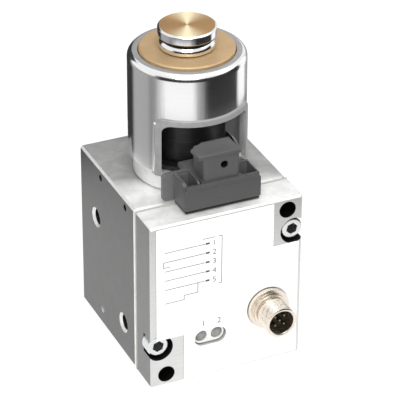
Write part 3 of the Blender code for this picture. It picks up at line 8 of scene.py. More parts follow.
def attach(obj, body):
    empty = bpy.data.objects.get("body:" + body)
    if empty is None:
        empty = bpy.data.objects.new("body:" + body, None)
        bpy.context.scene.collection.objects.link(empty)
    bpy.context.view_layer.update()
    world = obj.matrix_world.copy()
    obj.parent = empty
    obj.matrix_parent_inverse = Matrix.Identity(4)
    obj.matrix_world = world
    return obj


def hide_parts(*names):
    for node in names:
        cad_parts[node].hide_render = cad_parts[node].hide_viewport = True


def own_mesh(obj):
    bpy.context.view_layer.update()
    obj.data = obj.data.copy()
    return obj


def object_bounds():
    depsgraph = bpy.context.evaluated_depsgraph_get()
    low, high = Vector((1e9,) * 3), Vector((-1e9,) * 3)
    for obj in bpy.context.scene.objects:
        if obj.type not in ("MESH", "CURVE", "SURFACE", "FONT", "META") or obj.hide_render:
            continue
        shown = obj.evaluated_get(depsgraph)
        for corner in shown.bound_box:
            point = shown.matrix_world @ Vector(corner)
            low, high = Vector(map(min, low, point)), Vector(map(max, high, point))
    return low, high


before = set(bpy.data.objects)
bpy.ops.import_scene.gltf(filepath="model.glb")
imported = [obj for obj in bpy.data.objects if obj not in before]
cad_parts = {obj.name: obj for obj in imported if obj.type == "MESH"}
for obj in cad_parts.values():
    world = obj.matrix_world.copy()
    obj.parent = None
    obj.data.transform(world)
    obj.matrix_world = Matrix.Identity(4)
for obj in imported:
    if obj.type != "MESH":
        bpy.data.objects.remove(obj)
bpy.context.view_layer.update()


# Valve body
# A block of aluminium, cast, then milled square and blasted with fine grit to a dull grey. Its front edges
# are chamfered, and its left face has small tapped holes and two countersunk ones.

MM = 0.001


def colour(code):
    """An sRGB hex colour as the linear values that a shader takes."""
    parts = [int(code[k:k + 2], 16) / 255 for k in (1, 3, 5)]
    return [p / 12.92 if p <= 0.04045 else ((p + 0.055) / 1.055) ** 2.4 for p in parts] + [1.0]


def add_node(tree, kind, sockets=None, **settings):
    """Adds a node. Each entry of sockets is an input's value, or the output that feeds it."""
    node = tree.nodes.new(kind)
    for setting, value in settings.items():
        setattr(node, setting, value)
    for socket, value in (sockets or {}).items():
        if isinstance(value, bpy.types.NodeSocket):
            tree.links.new(value, node.inputs[socket])
        else:
            node.inputs[socket].default_value = value
    return node


def begin_material(name):
    """A new material with no nodes yet, and its node tree."""
    material = bpy.data.materials.new(name)
    material.use_nodes = True
    material.node_tree.nodes.clear()
    return material, material.node_tree


def add_piece(name, shape, finish, nodes, body="housing", crease=40):
    """Makes a piece that stands for some of the solids and moves with their body."""
    mesh = bpy.data.meshes.new(name)
    bmesh.ops.recalc_face_normals(shape, faces=shape.faces[:])
    shape.to_mesh(mesh)
    shape.free()
    mesh.materials.append(finish)
    mesh.shade_smooth()
    mesh.set_sharp_from_angle(angle=math.radians(crease))
    piece = bpy.data.objects.new(name, mesh)
    bpy.context.scene.collection.objects.link(piece)
    even = piece.modifiers.new("even_normals", "WEIGHTED_NORMAL")
    even.keep_sharp = True
    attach(piece, body)
    if nodes:
        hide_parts(*nodes)
    return piece


def refinish(piece, finish, chosen):
    """Gives some of a piece's faces another finish."""
    piece.data.materials.append(finish)
    for face in piece.data.polygons:
        if chosen(face):
            face.material_index = len(piece.data.materials) - 1


def ease_edges(shape, ease, chosen=lambda edge: True):
    """Breaks the sharp edges of a shape by a fine round, all of them or only those chosen."""
    sharp = [
        e for e in shape.edges
        if len(e.link_faces) == 2 and e.calc_face_angle(0) > math.radians(28) and chosen(e)
    ]
    bmesh.ops.bevel(
        shape, geom=sharp, offset=ease, offset_type="OFFSET", segments=2, profile=0.5, affect="EDGES",
        clamp_overlap=True,
    )
    bmesh.ops.remove_doubles(shape, verts=shape.verts[:], dist=0.001 * MM)
    return shape


def eased_solid(node, ease):
    """The solid's own shape with its facets joined and its sharp edges broken."""
    shape = bmesh.new()
    shape.from_mesh(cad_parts[node].data)
    bmesh.ops.remove_doubles(shape, verts=shape.verts[:], dist=0.001 * MM)
    bmesh.ops.dissolve_limit(
        shape, angle_limit=math.radians(0.6), verts=shape.verts[:], edges=shape.edges[:],
    )
    return ease_edges(shape, ease)


# Blasted aluminium: dull grey with a sparkle of fine pits. It is all metal, so its grey is the tint of what
# it reflects. The cast block is darker than the wrought cover. On the cover's left face the plate's grey is
# darker than the brushed front: painted shade on that side.
blasted = []
for name, dark, pale in (("blasted_casting", "#626262", "#828281"), ("blasted_plate_painted_shade", "#787878", "#989897")):
    material, tree = begin_material(name)
    blasted.append(material)
    place = add_node(tree, "ShaderNodeTexCoord").outputs["Object"]
    grit = add_node(tree, "ShaderNodeTexNoise", {
        "Vector": place, "Scale": 1 / (0.45 * MM), "Detail": 4.0, "Roughness": 0.6,
    }).outputs["Fac"]
    cloud = add_node(tree, "ShaderNodeTexNoise", {
        "Vector": place, "Scale": 1 / (6 * MM), "Detail": 3.0,
    }).outputs["Fac"]
    mixed = add_node(tree, "ShaderNodeMath", {
        0: cloud, 1: 0.35, 2: grit,
    }, operation="MULTIPLY_ADD").outputs[0]
    speckle = add_node(tree, "ShaderNodeMapRange", {
        "Value": mixed, "From Min": 0.42, "From Max": 0.93,
    }).outputs[0]
    tone = add_node(tree, "ShaderNodeMix", {
        "Factor": speckle, 6: colour(dark), 7: colour(pale),
    }, data_type="RGBA").outputs[2]
    dull = add_node(tree, "ShaderNodeMapRange", {"Value": speckle, "To Min": 0.38, "To Max": 0.52})
    pits = add_node(tree, "ShaderNodeBump", {"Height": grit, "Strength": 0.35, "Distance": 0.05 * MM})
    metal = add_node(tree, "ShaderNodeBsdfPrincipled", {
        "Base Color": tone, "Metallic": 1.0, "Roughness": dull.outputs[0], "Normal": pits.outputs[0],
    })
    add_node(tree, "ShaderNodeOutputMaterial", {"Surface": metal.outputs[0]})
blasted_casting, blasted_plate_painted_shade = blasted

# Milled aluminium: the top of the block, with cloudy marks from handling. Its oxide scatters half of the
# light. Its colour is painted paler towards the front: a painted gradient of light.
milled_aluminium, tree = begin_material("milled_aluminium")
place = add_node(tree, "ShaderNodeTexCoord").outputs["Object"]
cloud = add_node(tree, "ShaderNodeTexNoise", {
    "Vector": place, "Scale": 1 / (7 * MM), "Detail": 5.0, "Roughness": 0.6, "Distortion": 0.6,
}).outputs["Fac"]
marks = add_node(tree, "ShaderNodeMapRange", {"Value": cloud, "From Min": 0.35, "From Max": 0.65}).outputs[0]
rear = add_node(tree, "ShaderNodeMix", {
    "Factor": marks, 6: colour("#979796"), 7: colour("#afafae"),
}, data_type="RGBA").outputs[2]
front = add_node(tree, "ShaderNodeMix", {
    "Factor": marks, 6: colour("#e0e0de"), 7: colour("#f4f4f2"),
}, data_type="RGBA").outputs[2]
# Painted light: the top is painted from grey at the rear to nearly white at the front.
slanting = add_node(tree, "ShaderNodeVectorMath", {
    0: place, 1: (-0.35, -1.0, 0.0),
}, operation="DOT_PRODUCT").outputs["Value"]
painted_light_to_front = add_node(tree, "ShaderNodeMapRange", {
    "Value": slanting, "From Min": -4 * MM, "From Max": 8 * MM,
}, interpolation_type="SMOOTHSTEP").outputs[0]
tone = add_node(tree, "ShaderNodeMix", {
    "Factor": painted_light_to_front, 6: rear, 7: front,
}, data_type="RGBA").outputs[2]
dull = add_node(tree, "ShaderNodeMapRange", {"Value": marks, "To Min": 0.45, "To Max": 0.6})
metal = add_node(tree, "ShaderNodeBsdfPrincipled", {
    "Base Color": tone, "Metallic": 0.4, "Roughness": dull.outputs[0],
})
add_node(tree, "ShaderNodeOutputMaterial", {"Surface": metal.outputs[0]})

body = add_piece(
    "blasted_body", eased_solid("valve_body", 0.15 * MM), blasted_casting, ["valve_body"],
)
refinish(body, milled_aluminium, lambda face: (
    face.normal.z > 0.5 and face.center.z > 67 * MM or face.normal.y < -0.3 and face.center.y < -11.7 * MM
))

# Painted shade: a dull, dark grey metal for the walls of deep holes, counterbores, sockets and narrow gaps,
# painted dark for the shade that falls in them.
painted_shade_bore, tree = begin_material("painted_shade_bore")
place = add_node(tree, "ShaderNodeTexCoord").outputs["Object"]
shade_mottle = add_node(tree, "ShaderNodeTexNoise", {
    "Vector": place, "Scale": 1 / (1.5 * MM), "Detail": 3.0,
}).outputs["Fac"]
tone = add_node(tree, "ShaderNodeMix", {
    "Factor": shade_mottle, 6: colour("#2a2a2a"), 7: colour("#4a4a4a"),
}, data_type="RGBA").outputs[2]
dull = add_node(tree, "ShaderNodeMapRange", {"Value": shade_mottle, "To Min": 0.4, "To Max": 0.55})
metal = add_node(tree, "ShaderNodeBsdfPrincipled", {
    "Base Color": tone, "Metallic": 1.0, "Roughness": dull.outputs[0],
})
add_node(tree, "ShaderNodeOutputMaterial", {"Surface": metal.outputs[0]})

bolts = [(-23.9, 4.8), (23.9, 63.2)]


def in_bore(face, axes, radius):
    """Whether a face lies inside a bore that runs from front to back."""
    reaches = [math.hypot(face.center.x - x * MM, face.center.z - z * MM) for x, z in axes]
    return min(reaches) < radius * MM


# Cut aluminium: the mouths of the tapped holes and the chamfer along the top of the left face, freshly cut,
# and painted nearly white as a painted highlight.
cut_aluminium_highlight, tree = begin_material("cut_aluminium_highlight")
place = add_node(tree, "ShaderNodeTexCoord").outputs["Object"]
chatter = add_node(tree, "ShaderNodeTexNoise", {
    "Vector": place, "Scale": 1 / (0.6 * MM), "Detail": 2.0,
}).outputs["Fac"]
tone = add_node(tree, "ShaderNodeMix", {
    "Factor": chatter, 6: colour("#d4d4d3"), 7: colour("#f6f6f5"),
}, data_type="RGBA").outputs[2]
dull = add_node(tree, "ShaderNodeMapRange", {"Value": chatter, "To Min": 0.35, "To Max": 0.5})
metal = add_node(tree, "ShaderNodeBsdfPrincipled", {
    "Base Color": tone, "Metallic": 0.4, "Roughness": dull.outputs[0],
})
add_node(tree, "ShaderNodeOutputMaterial", {"Surface": metal.outputs[0]})


def in_side_hole(face, near, far):
    """Whether a face lies in a hole of the left side, between two depths."""
    inside = near * MM < face.center.x + 30 * MM < far * MM and abs(face.center.z - 34 * MM) < 33 * MM
    return inside and -11 * MM < face.center.y < 39 * MM


# The bolt holes and the deep parts of the side holes get the painted shade of the bores.
refinish(body, painted_shade_bore, lambda face: in_bore(face, bolts, 3.5) or in_side_hole(face, 3, 10))
# The mouths of the side holes and the chamfer over the left face are painted nearly white, as a painted
# highlight.
refinish(body, cut_aluminium_highlight, lambda face: (
    in_side_hole(face, 0.16, 3) and not in_bore(face, bolts, 3.5)
    or face.normal.z > 0.3 and face.normal.x < -0.3 and face.center.z > 67 * MM
))


# Valve inside the body
# A turned brass seat, a poppet with a vulcanised rubber face, and the control piston above them, all with
# black nitrile rings. The plug below is brass too, held by a snap ring of spring steel.

def dress(finish, *nodes):
    """Gives solids that are shown as they are their finish."""
    for node in nodes:
        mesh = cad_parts[node].data
        mesh.materials.clear()
        mesh.materials.append(finish)


# Turned brass: warm yellow metal with the fine rings of the lathe tool, 0.15 mm apart.
turned_brass, tree = begin_material("turned_brass")
place = add_node(tree, "ShaderNodeTexCoord").outputs["Object"]
rings = add_node(tree, "ShaderNodeTexNoise", {
    "Vector": add_node(tree, "ShaderNodeMapping", {"Vector": place, "Scale": (200, 200, 6600)}).outputs[0],
    "Scale": 1.0, "Detail": 2.0,
}).outputs["Fac"]
tone = add_node(tree, "ShaderNodeMix", {
    "Factor": rings, 6: colour("#b08d4c"), 7: colour("#cbaa66"),
}, data_type="RGBA").outputs[2]
dull = add_node(tree, "ShaderNodeMapRange", {"Value": rings, "To Min": 0.2, "To Max": 0.36})
metal = add_node(tree, "ShaderNodeBsdfPrincipled", {
    "Base Color": tone, "Metallic": 1.0, "Roughness": dull.outputs[0],
})
add_node(tree, "ShaderNodeOutputMaterial", {"Surface": metal.outputs[0]})
dress(turned_brass, "seat_ring", "bottom_plug", "control_piston", "poppet")

# Nitrile rubber: black and nearly matt, with the faint orange peel of a moulded seal.
nitrile_rubber, tree = begin_material("nitrile_rubber")
place = add_node(tree, "ShaderNodeTexCoord").outputs["Object"]
peel = add_node(tree, "ShaderNodeTexNoise", {
    "Vector": place, "Scale": 1 / (0.3 * MM), "Detail": 2.0,
}).outputs["Fac"]
tone = add_node(tree, "ShaderNodeMix", {
    "Factor": peel, 6: colour("#161616"), 7: colour("#242424"),
}, data_type="RGBA").outputs[2]
dull = add_node(tree, "ShaderNodeMapRange", {"Value": peel, "To Min": 0.48, "To Max": 0.62})
skin = add_node(tree, "ShaderNodeBump", {"Height": peel, "Strength": 0.15, "Distance": 0.03 * MM})
rubber = add_node(tree, "ShaderNodeBsdfPrincipled", {
    "Base Color": tone, "Roughness": dull.outputs[0], "IOR": 1.52, "Normal": skin.outputs[0],
})
add_node(tree, "ShaderNodeOutputMaterial", {"Surface": rubber.outputs[0]})
dress(
    nitrile_rubber, "poppet_rubber", "piston_seal", "seat_seal", "plug_seal_lower", "plug_seal_upper",
    "port_seal_exhaust", "port_seal_supply", "port_seal_outlet", "flange_seal", "connector_seal",
    "sensor_seal",
    "housing_gasket",
)

# Spring steel: drawn wire, bluish grey, with lines along its length 0.1 mm apart.
spring_steel, tree = begin_material("spring_steel")
place = add_node(tree, "ShaderNodeTexCoord").outputs["Object"]
lines = add_node(tree, "ShaderNodeTexNoise", {
    "Vector": place, "Scale": 1 / (0.1 * MM), "Detail": 1.0,
}).outputs["Fac"]
tone = add_node(tree, "ShaderNodeMix", {
    "Factor": lines, 6: colour("#74777b"), 7: colour("#9ea1a6"),
}, data_type="RGBA").outputs[2]
dull = add_node(tree, "ShaderNodeMapRange", {"Value": lines, "To Min": 0.25, "To Max": 0.4})
metal = add_node(tree, "ShaderNodeBsdfPrincipled", {
    "Base Color": tone, "Metallic": 1.0, "Roughness": dull.outputs[0],
})
add_node(tree, "ShaderNodeOutputMaterial", {"Surface": metal.outputs[0]})
dress(spring_steel, "bottom_circlip")

# Each spring's upper end moves with its slide and its lower end stays; here the whole coil is attached to
# the slide and does not shorten.
for node, piece_name, body, joint, travel in (
    ("return_spring", "coiled_return", "plunger", "plunger_stroke", 2.4),
    ("poppet_spring", "coiled_lift", "poppet_slide", "poppet_lift", 1.44),
):
    wire = bmesh.new()
    wire.from_mesh(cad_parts[node].data)
    coil = add_piece(piece_name, wire, spring_steel, [node], body)
    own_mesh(coil)


# Cover gasket
# A sheet of pressed fibre, 0.6 mm thick, punched to the outline of the body and clamped between it and the
# cover. Its cut edge shows as a pale line.

pressed_fibre, tree = begin_material("pressed_fibre")
place = add_node(tree, "ShaderNodeTexCoord").outputs["Object"]
fibres = add_node(tree, "ShaderNodeTexNoise", {
    "Vector": place, "Scale": 1 / (0.5 * MM), "Detail": 5.0, "Roughness": 0.7, "Distortion": 1.5,
}).outputs["Fac"]
tone = add_node(tree, "ShaderNodeMix", {
    "Factor": fibres, 6: colour("#a9a7a1"), 7: colour("#d2d1cc"),
}, data_type="RGBA").outputs[2]
felt = add_node(tree, "ShaderNodeBump", {"Height": fibres, "Strength": 0.3, "Distance": 0.05 * MM})
sheet = add_node(tree, "ShaderNodeBsdfPrincipled", {
    "Base Color": tone, "Roughness": 0.85, "Normal": felt.outputs[0],
})
add_node(tree, "ShaderNodeOutputMaterial", {"Surface": sheet.outputs[0]})
dress(pressed_fibre, "cover_gasket")


# Front cover
# A shallow box milled from aluminium and brushed, which holds the electronics. Its faces keep the fine
# lines of the cutter, and its outer edges are chamfered.

brushed_aluminium, tree = begin_material("brushed_aluminium")
place = add_node(tree, "ShaderNodeTexCoord").outputs["Object"]
# Brush lines 0.12 mm apart in the metal; drawn 0.4 mm apart, or they would not show.
brushed = add_node(tree, "ShaderNodeTexNoise", {
    "Vector": add_node(tree, "ShaderNodeMapping", {"Vector": place, "Scale": (120, 900, 2500)}).outputs[0],
    "Scale": 1.0, "Detail": 3.0,
}).outputs["Fac"]
tone = add_node(tree, "ShaderNodeMix", {
    "Factor": brushed, 6: colour("#cbcbca"), 7: colour("#e4e4e2"),
}, data_type="RGBA").outputs[2]
dull = add_node(tree, "ShaderNodeMapRange", {"Value": brushed, "To Min": 0.42, "To Max": 0.55})
lines = add_node(tree, "ShaderNodeBump", {"Height": brushed, "Strength": 0.12, "Distance": 0.02 * MM})
metal = add_node(tree, "ShaderNodeBsdfPrincipled", {
    "Base Color": tone, "Metallic": 1.0, "Roughness": dull.outputs[0], "Normal": lines.outputs[0],
})
add_node(tree, "ShaderNodeOutputMaterial", {"Surface": metal.outputs[0]})

cover = add_piece(
    "brushed_cover", eased_solid("front_cover", 0.12 * MM), brushed_aluminium,
    ["front_cover"],
)
refinish(cover, milled_aluminium, lambda face: face.normal.z > 0.3 and face.center.z > 67 * MM)
# Painted shade: the cover's left face is given the darker blasted grey.
refinish(cover, blasted_plate_painted_shade, lambda face: face.normal.x < -0.9 and face.center.x < -29.9 * MM)
cover_front = -26.95
screws = [(-26.5, 16.7), (26.5, 53.9)]
# The bolt holes and the counterbores round the screws get the painted shade of the bores.
refinish(cover, painted_shade_bore, lambda face: face.center.y > -26.8 * MM and (
    in_bore(face, bolts, 3.5) or in_bore(face, screws, 5.4)
))


# Circuit board and pressure sensor
# A board of glass-filled epoxy with a green solder mask lies behind the cover's front. The sensor is a
# bright steel can on it, and two small zinc-plated screws hold the board.

solder_mask, tree = begin_material("solder_mask")
place = add_node(tree, "ShaderNodeTexCoord").outputs["Object"]
weave = add_node(tree, "ShaderNodeTexChecker", {
    "Vector": place, "Scale": 1 / (1.2 * MM), "Color1": colour("#1f5a38"), "Color2": colour("#256642"),
}).outputs["Color"]
lacquer = add_node(tree, "ShaderNodeBsdfPrincipled", {"Base Color": weave, "Roughness": 0.3, "IOR": 1.5})
add_node(tree, "ShaderNodeOutputMaterial", {"Surface": lacquer.outputs[0]})
dress(solder_mask, "circuit_board")

# Zinc-plated steel: cool bright grey, a little cloudy where the plating took unevenly.
zinc_plate, tree = begin_material("zinc_plate")
place = add_node(tree, "ShaderNodeTexCoord").outputs["Object"]
cloud = add_node(tree, "ShaderNodeTexNoise", {
    "Vector": place, "Scale": 1 / (1.5 * MM), "Detail": 4.0,
}).outputs["Fac"]
tone = add_node(tree, "ShaderNodeMix", {
    "Factor": cloud, 6: colour("#cfd0d1"), 7: colour("#ececec"),
}, data_type="RGBA").outputs[2]
dull = add_node(tree, "ShaderNodeMapRange", {"Value": cloud, "To Min": 0.16, "To Max": 0.34})
metal = add_node(tree, "ShaderNodeBsdfPrincipled", {
    "Base Color": tone, "Metallic": 1.0, "Roughness": dull.outputs[0],
})
add_node(tree, "ShaderNodeOutputMaterial", {"Surface": metal.outputs[0]})
dress(zinc_plate, "board_screw_1", "board_screw_2", "pressure_sensor", "armature", "push_rod", "guide_tube")


# Indicators
# A white moulded plate fills the slot in the cover, and two light pipes of smoky clear plastic end in it
# with a shallow dome.

def eased_outline(outline, ease, steps=3):
    """Rounds each corner of a closed outline, but not those on the axis."""
    points = []
    for k, corner in enumerate(outline):
        before = Vector(outline[k - 1])
        after = Vector(outline[(k + 1) % len(outline)])
        corner = Vector(corner)
        reach = min(ease, 0.45 * (before - corner).length, 0.45 * (after - corner).length)
        if abs(corner.x) < 1e-6:
            points.append(corner)
            continue
        start = corner + (before - corner).normalized() * reach
        end = corner + (after - corner).normalized() * reach
        for step in range(steps + 1):
            t = step / steps
            points.append(start * (1 - t) ** 2 + corner * 2 * t * (1 - t) + end * t ** 2)
    return points


def turned(outline, centre, ease=0.15, steps=96, facing="up"):
    """Spins a closed outline of (radius, height) in millimetres round an axis through centre."""
    shape = bmesh.new()
    verts = [shape.verts.new((p.x * MM, 0, p.y * MM)) for p in eased_outline(outline, ease)]
    edges = []
    for a, b in zip(verts, verts[1:] + verts[:1]):
        if a.co.x + b.co.x > 1e-9:
            edges.append(shape.edges.new((a, b)))
    bmesh.ops.spin(
        shape, geom=verts + edges, cent=(0, 0, 0), axis=(0, 0, 1), angle=2 * math.pi, steps=steps,
        use_merge=True,
    )
    bmesh.ops.remove_doubles(shape, verts=shape.verts[:], dist=0.001 * MM)
    if facing == "front":
        forward = Matrix.Rotation(math.pi / 2, 3, "X")
        bmesh.ops.rotate(shape, verts=shape.verts[:], cent=(0, 0, 0), matrix=forward)
    bmesh.ops.translate(shape, verts=shape.verts[:], vec=Vector(centre) * MM)
    return shape


# White ABS: clean and satin, with the faint waves of a moulded face.
white_abs, tree = begin_material("white_abs")
place = add_node(tree, "ShaderNodeTexCoord").outputs["Object"]
waves = add_node(tree, "ShaderNodeTexNoise", {
    "Vector": place, "Scale": 1 / (1.0 * MM), "Detail": 2.0,
}).outputs["Fac"]
tone = add_node(tree, "ShaderNodeMix", {
    "Factor": waves, 6: colour("#dcdcda"), 7: colour("#ecece9"),
}, data_type="RGBA").outputs[2]
dull = add_node(tree, "ShaderNodeMapRange", {"Value": waves, "To Min": 0.35, "To Max": 0.5})
plastic = add_node(tree, "ShaderNodeBsdfPrincipled", {
    "Base Color": tone, "Roughness": dull.outputs[0], "IOR": 1.54,
})
add_node(tree, "ShaderNodeOutputMaterial", {"Surface": plastic.outputs[0]})
add_piece(
    "indicator_plate", eased_solid("indicator_insert", 0.12 * MM), white_abs,
    ["indicator_insert"],
)

# Smoky polycarbonate: grey and glossy, with a faint haze.
smoky_polycarbonate, tree = begin_material("smoky_polycarbonate")
place = add_node(tree, "ShaderNodeTexCoord").outputs["Object"]
haze = add_node(tree, "ShaderNodeTexNoise", {
    "Vector": place, "Scale": 1 / (1.2 * MM), "Detail": 2.0,
}).outputs["Fac"]
tone = add_node(tree, "ShaderNodeMix", {
    "Factor": haze, 6: colour("#6d6d6b"), 7: colour("#979793"),
}, data_type="RGBA").outputs[2]
pipe = add_node(tree, "ShaderNodeBsdfPrincipled", {"Base Color": tone, "Roughness": 0.14, "IOR": 1.58})
add_node(tree, "ShaderNodeOutputMaterial", {"Surface": pipe.outputs[0]})

for name, node, x in (("left_light", "indicator_left", -9.5), ("right_light", "indicator_right", -3.3)):
    dome = [(0, 0.9), (1.2, 0.78), (1.85, 0.45), (2.1, 0.0), (2.1, -7.3), (0, -7.3)]
    light = turned([(r, h - 1.8) for r, h in dome], (x, cover_front, 16.8), steps=48, facing="front")
    add_piece(name, light, smoky_polycarbonate, [node])


# Round receptacle
# One turned shell of nickel-plated brass: a flange with a sealing groove behind it, a collar, a neck and a
# barrel with a fine thread of 1 mm pitch. A black insert holds five gold-plated pins.

nickel_plate, tree = begin_material("nickel_plate")
place = add_node(tree, "ShaderNodeTexCoord").outputs["Object"]
rings = add_node(tree, "ShaderNodeTexNoise", {
    "Vector": add_node(tree, "ShaderNodeMapping", {"Vector": place, "Scale": (300, 4000, 300)}).outputs[0],
    "Scale": 1.0, "Detail": 2.0,
}).outputs["Fac"]
tone = add_node(tree, "ShaderNodeMix", {
    "Factor": rings, 6: colour("#e0d5c6"), 7: colour("#f2eae0"),
}, data_type="RGBA").outputs[2]
dull = add_node(tree, "ShaderNodeMapRange", {"Value": rings, "To Min": 0.2, "To Max": 0.32})
metal = add_node(tree, "ShaderNodeBsdfPrincipled", {
    "Base Color": tone, "Metallic": 1.0, "Roughness": dull.outputs[0],
})
add_node(tree, "ShaderNodeOutputMaterial", {"Surface": metal.outputs[0]})

shell_outline = [
    (5.1, 12.6), (5.5, 12.6), (6.0, 12.2), (6.0, 5.0), (5.4, 5.0), (5.4, 4.0), (6.7, 4.0), (6.7, 2.2),
    (8.0, 2.2), (8.0, 0.3), (7.5, 0.3), (7.5, 1.1), (6.4, 1.1), (6.4, 0.3), (6.0, 0.3), (6.0, -5.8),
    (3.7, -5.8), (3.7, 3.4), (4.7, 3.4), (4.7, 12.2),
]
receptacle_x, receptacle_z = 16.5, 23.8
shell = turned(shell_outline, (0, 0, 0))
# The thread: points on the barrel move in and out along a helix.
barrel_radius, thread_pitch, thread_depth = 6.0 * MM, 1.0 * MM, 0.22 * MM
thread_start, thread_end, run_out = 5.3 * MM, 12.1 * MM, 0.5 * MM
bmesh.ops.subdivide_edges(
    shell, cuts=38, edges=[
        e for e in shell.edges
        if all(abs(v.co.xy.length - barrel_radius) < 0.01 * MM for v in e.verts)
        and abs(e.verts[0].co.z - e.verts[1].co.z) > 6 * MM and min(v.co.z for v in e.verts) > 4 * MM
    ],
)
for vert in shell.verts:
    radius = vert.co.xy.length
    if abs(radius - barrel_radius) < 0.02 * MM and thread_start < vert.co.z < thread_end:
        turn = math.atan2(vert.co.y, vert.co.x) / (2 * math.pi)
        phase = (vert.co.z / thread_pitch - turn) % 1.0
        cut = abs(2 * phase - 1) * thread_depth
        fade = min(1, (vert.co.z - thread_start) / run_out, (thread_end - vert.co.z) / run_out)
        vert.co.xy *= (radius - cut * max(0, fade)) / radius
bmesh.ops.rotate(shell, verts=shell.verts[:], cent=(0, 0, 0), matrix=Matrix.Rotation(math.pi / 2, 3, "X"))
bmesh.ops.translate(shell, verts=shell.verts[:], vec=Vector((receptacle_x, cover_front, receptacle_z)) * MM)
add_piece("threaded_shell", shell, nickel_plate, ["connector_shell"])

# Black PBT: the insulator, moulded with a matt face.
black_pbt, tree = begin_material("black_pbt")
place = add_node(tree, "ShaderNodeTexCoord").outputs["Object"]
matt = add_node(tree, "ShaderNodeTexNoise", {
    "Vector": place, "Scale": 1 / (0.35 * MM), "Detail": 3.0,
}).outputs["Fac"]
tone = add_node(tree, "ShaderNodeMix", {
    "Factor": matt, 6: colour("#070707"), 7: colour("#101010"),
}, data_type="RGBA").outputs[2]
dull = add_node(tree, "ShaderNodeMapRange", {"Value": matt, "To Min": 0.5, "To Max": 0.65})
plastic = add_node(tree, "ShaderNodeBsdfPrincipled", {
    "Base Color": tone, "Roughness": dull.outputs[0], "IOR": 1.55,
})
add_node(tree, "ShaderNodeOutputMaterial", {"Surface": plastic.outputs[0]})
dress(black_pbt, "connector_insert")

# Gold-plated contacts: pale gold and smooth.
gold_plate, tree = begin_material("gold_plate")
place = add_node(tree, "ShaderNodeTexCoord").outputs["Object"]
wear = add_node(tree, "ShaderNodeTexNoise", {
    "Vector": place, "Scale": 1 / (0.4 * MM), "Detail": 2.0,
}).outputs["Fac"]
tone = add_node(tree, "ShaderNodeMix", {
    "Factor": wear, 6: colour("#8d7c55"), 7: colour("#b3a274"),
}, data_type="RGBA").outputs[2]
metal = add_node(tree, "ShaderNodeBsdfPrincipled", {"Base Color": tone, "Metallic": 1.0, "Roughness": 0.22})
add_node(tree, "ShaderNodeOutputMaterial", {"Surface": metal.outputs[0]})

pin_outline = [(0, 10.9), (0.22, 10.84), (0.4, 10.66), (0.5, 10.4), (0.5, -8.2), (0, -8.2)]
ring = [(2.5 * math.cos(a), 2.5 * math.sin(a)) for a in [math.radians(45 + 90 * k) for k in range(4)]]
for number, (dx, dz) in enumerate([(0, 0)] + ring, 1):
    centre = (receptacle_x + dx, cover_front, receptacle_z + dz)
    pin = turned(pin_outline, centre, ease=0.05, steps=24, facing="front")
    add_piece(f"domed_pin_{number}", pin, gold_plate, [f"connector_pin_{number}"])
dress(zinc_plate, "connector_nut")


# Label
# A white polyester film, 0.25 mm thick, glued to the cover and notched round the two bare corners. It
# carries only plain numbers and a diagram of five wires.

polyester_film, tree = begin_material("polyester_film")
place = add_node(tree, "ShaderNodeTexCoord").outputs["Object"]
sheen = add_node(tree, "ShaderNodeTexNoise", {
    "Vector": place, "Scale": 1 / (9 * MM), "Detail": 3.0,
}).outputs["Fac"]
tone = add_node(tree, "ShaderNodeMix", {
    "Factor": sheen, 6: colour("#efefee"), 7: colour("#f6f6f5"),
}, data_type="RGBA").outputs[2]
dull = add_node(tree, "ShaderNodeMapRange", {"Value": sheen, "To Min": 0.34, "To Max": 0.46})
film = add_node(tree, "ShaderNodeBsdfPrincipled", {
    "Base Color": tone, "Roughness": dull.outputs[0], "IOR": 1.57,
})
add_node(tree, "ShaderNodeOutputMaterial", {"Surface": film.outputs[0]})
add_piece("film_label", eased_solid("label_film", 0.04 * MM), polyester_film, ["label_film"])

# Screen-printing ink: dark grey and flat, a little thinner in places.
printing_ink, tree = begin_material("printing_ink")
place = add_node(tree, "ShaderNodeTexCoord").outputs["Object"]
coverage = add_node(tree, "ShaderNodeTexNoise", {
    "Vector": place, "Scale": 1 / (0.8 * MM), "Detail": 3.0,
}).outputs["Fac"]
tone = add_node(tree, "ShaderNodeMix", {
    "Factor": coverage, 6: colour("#2c2c2c"), 7: colour("#565656"),
}, data_type="RGBA").outputs[2]
ink = add_node(tree, "ShaderNodeBsdfPrincipled", {"Base Color": tone, "Roughness": 0.6, "IOR": 1.5})
add_node(tree, "ShaderNodeOutputMaterial", {"Surface": ink.outputs[0]})


print_face = -27.315


def stroke(shape, x0, z0, x1, z1, width):
    """A printed line, in millimetres, on the face of the label."""
    along = Vector((x1 - x0, z1 - z0)).normalized() * width / 2
    side = Vector((-along.y, along.x))
    ends = [Vector((x0, z0)) - along, Vector((x1, z1)) + along]
    corners = [ends[0] + side, ends[0] - side, ends[1] - side, ends[1] + side]
    shape.faces.new([shape.verts.new((c.x * MM, print_face * MM, c.y * MM)) for c in corners])


def numeral(shape, digit, x, z, height):
    """A printed digit, its lower left corner at (x, z) in millimetres."""
    curve = bpy.data.curves.new("digit", "FONT")
    curve.body = digit
    curve.size = height * MM / 0.7
    text = bpy.data.objects.new("digit", curve)
    bpy.context.scene.collection.objects.link(text)
    mesh = bpy.data.meshes.new_from_object(text.evaluated_get(bpy.context.evaluated_depsgraph_get()))
    upright = Matrix.Rotation(math.pi / 2, 4, "X")
    mesh.transform(Matrix.Translation((x * MM, print_face * MM, z * MM)) @ upright)
    shape.from_mesh(mesh)
    bpy.data.objects.remove(text)
    bpy.data.meshes.remove(mesh)
    bpy.data.curves.remove(curve)


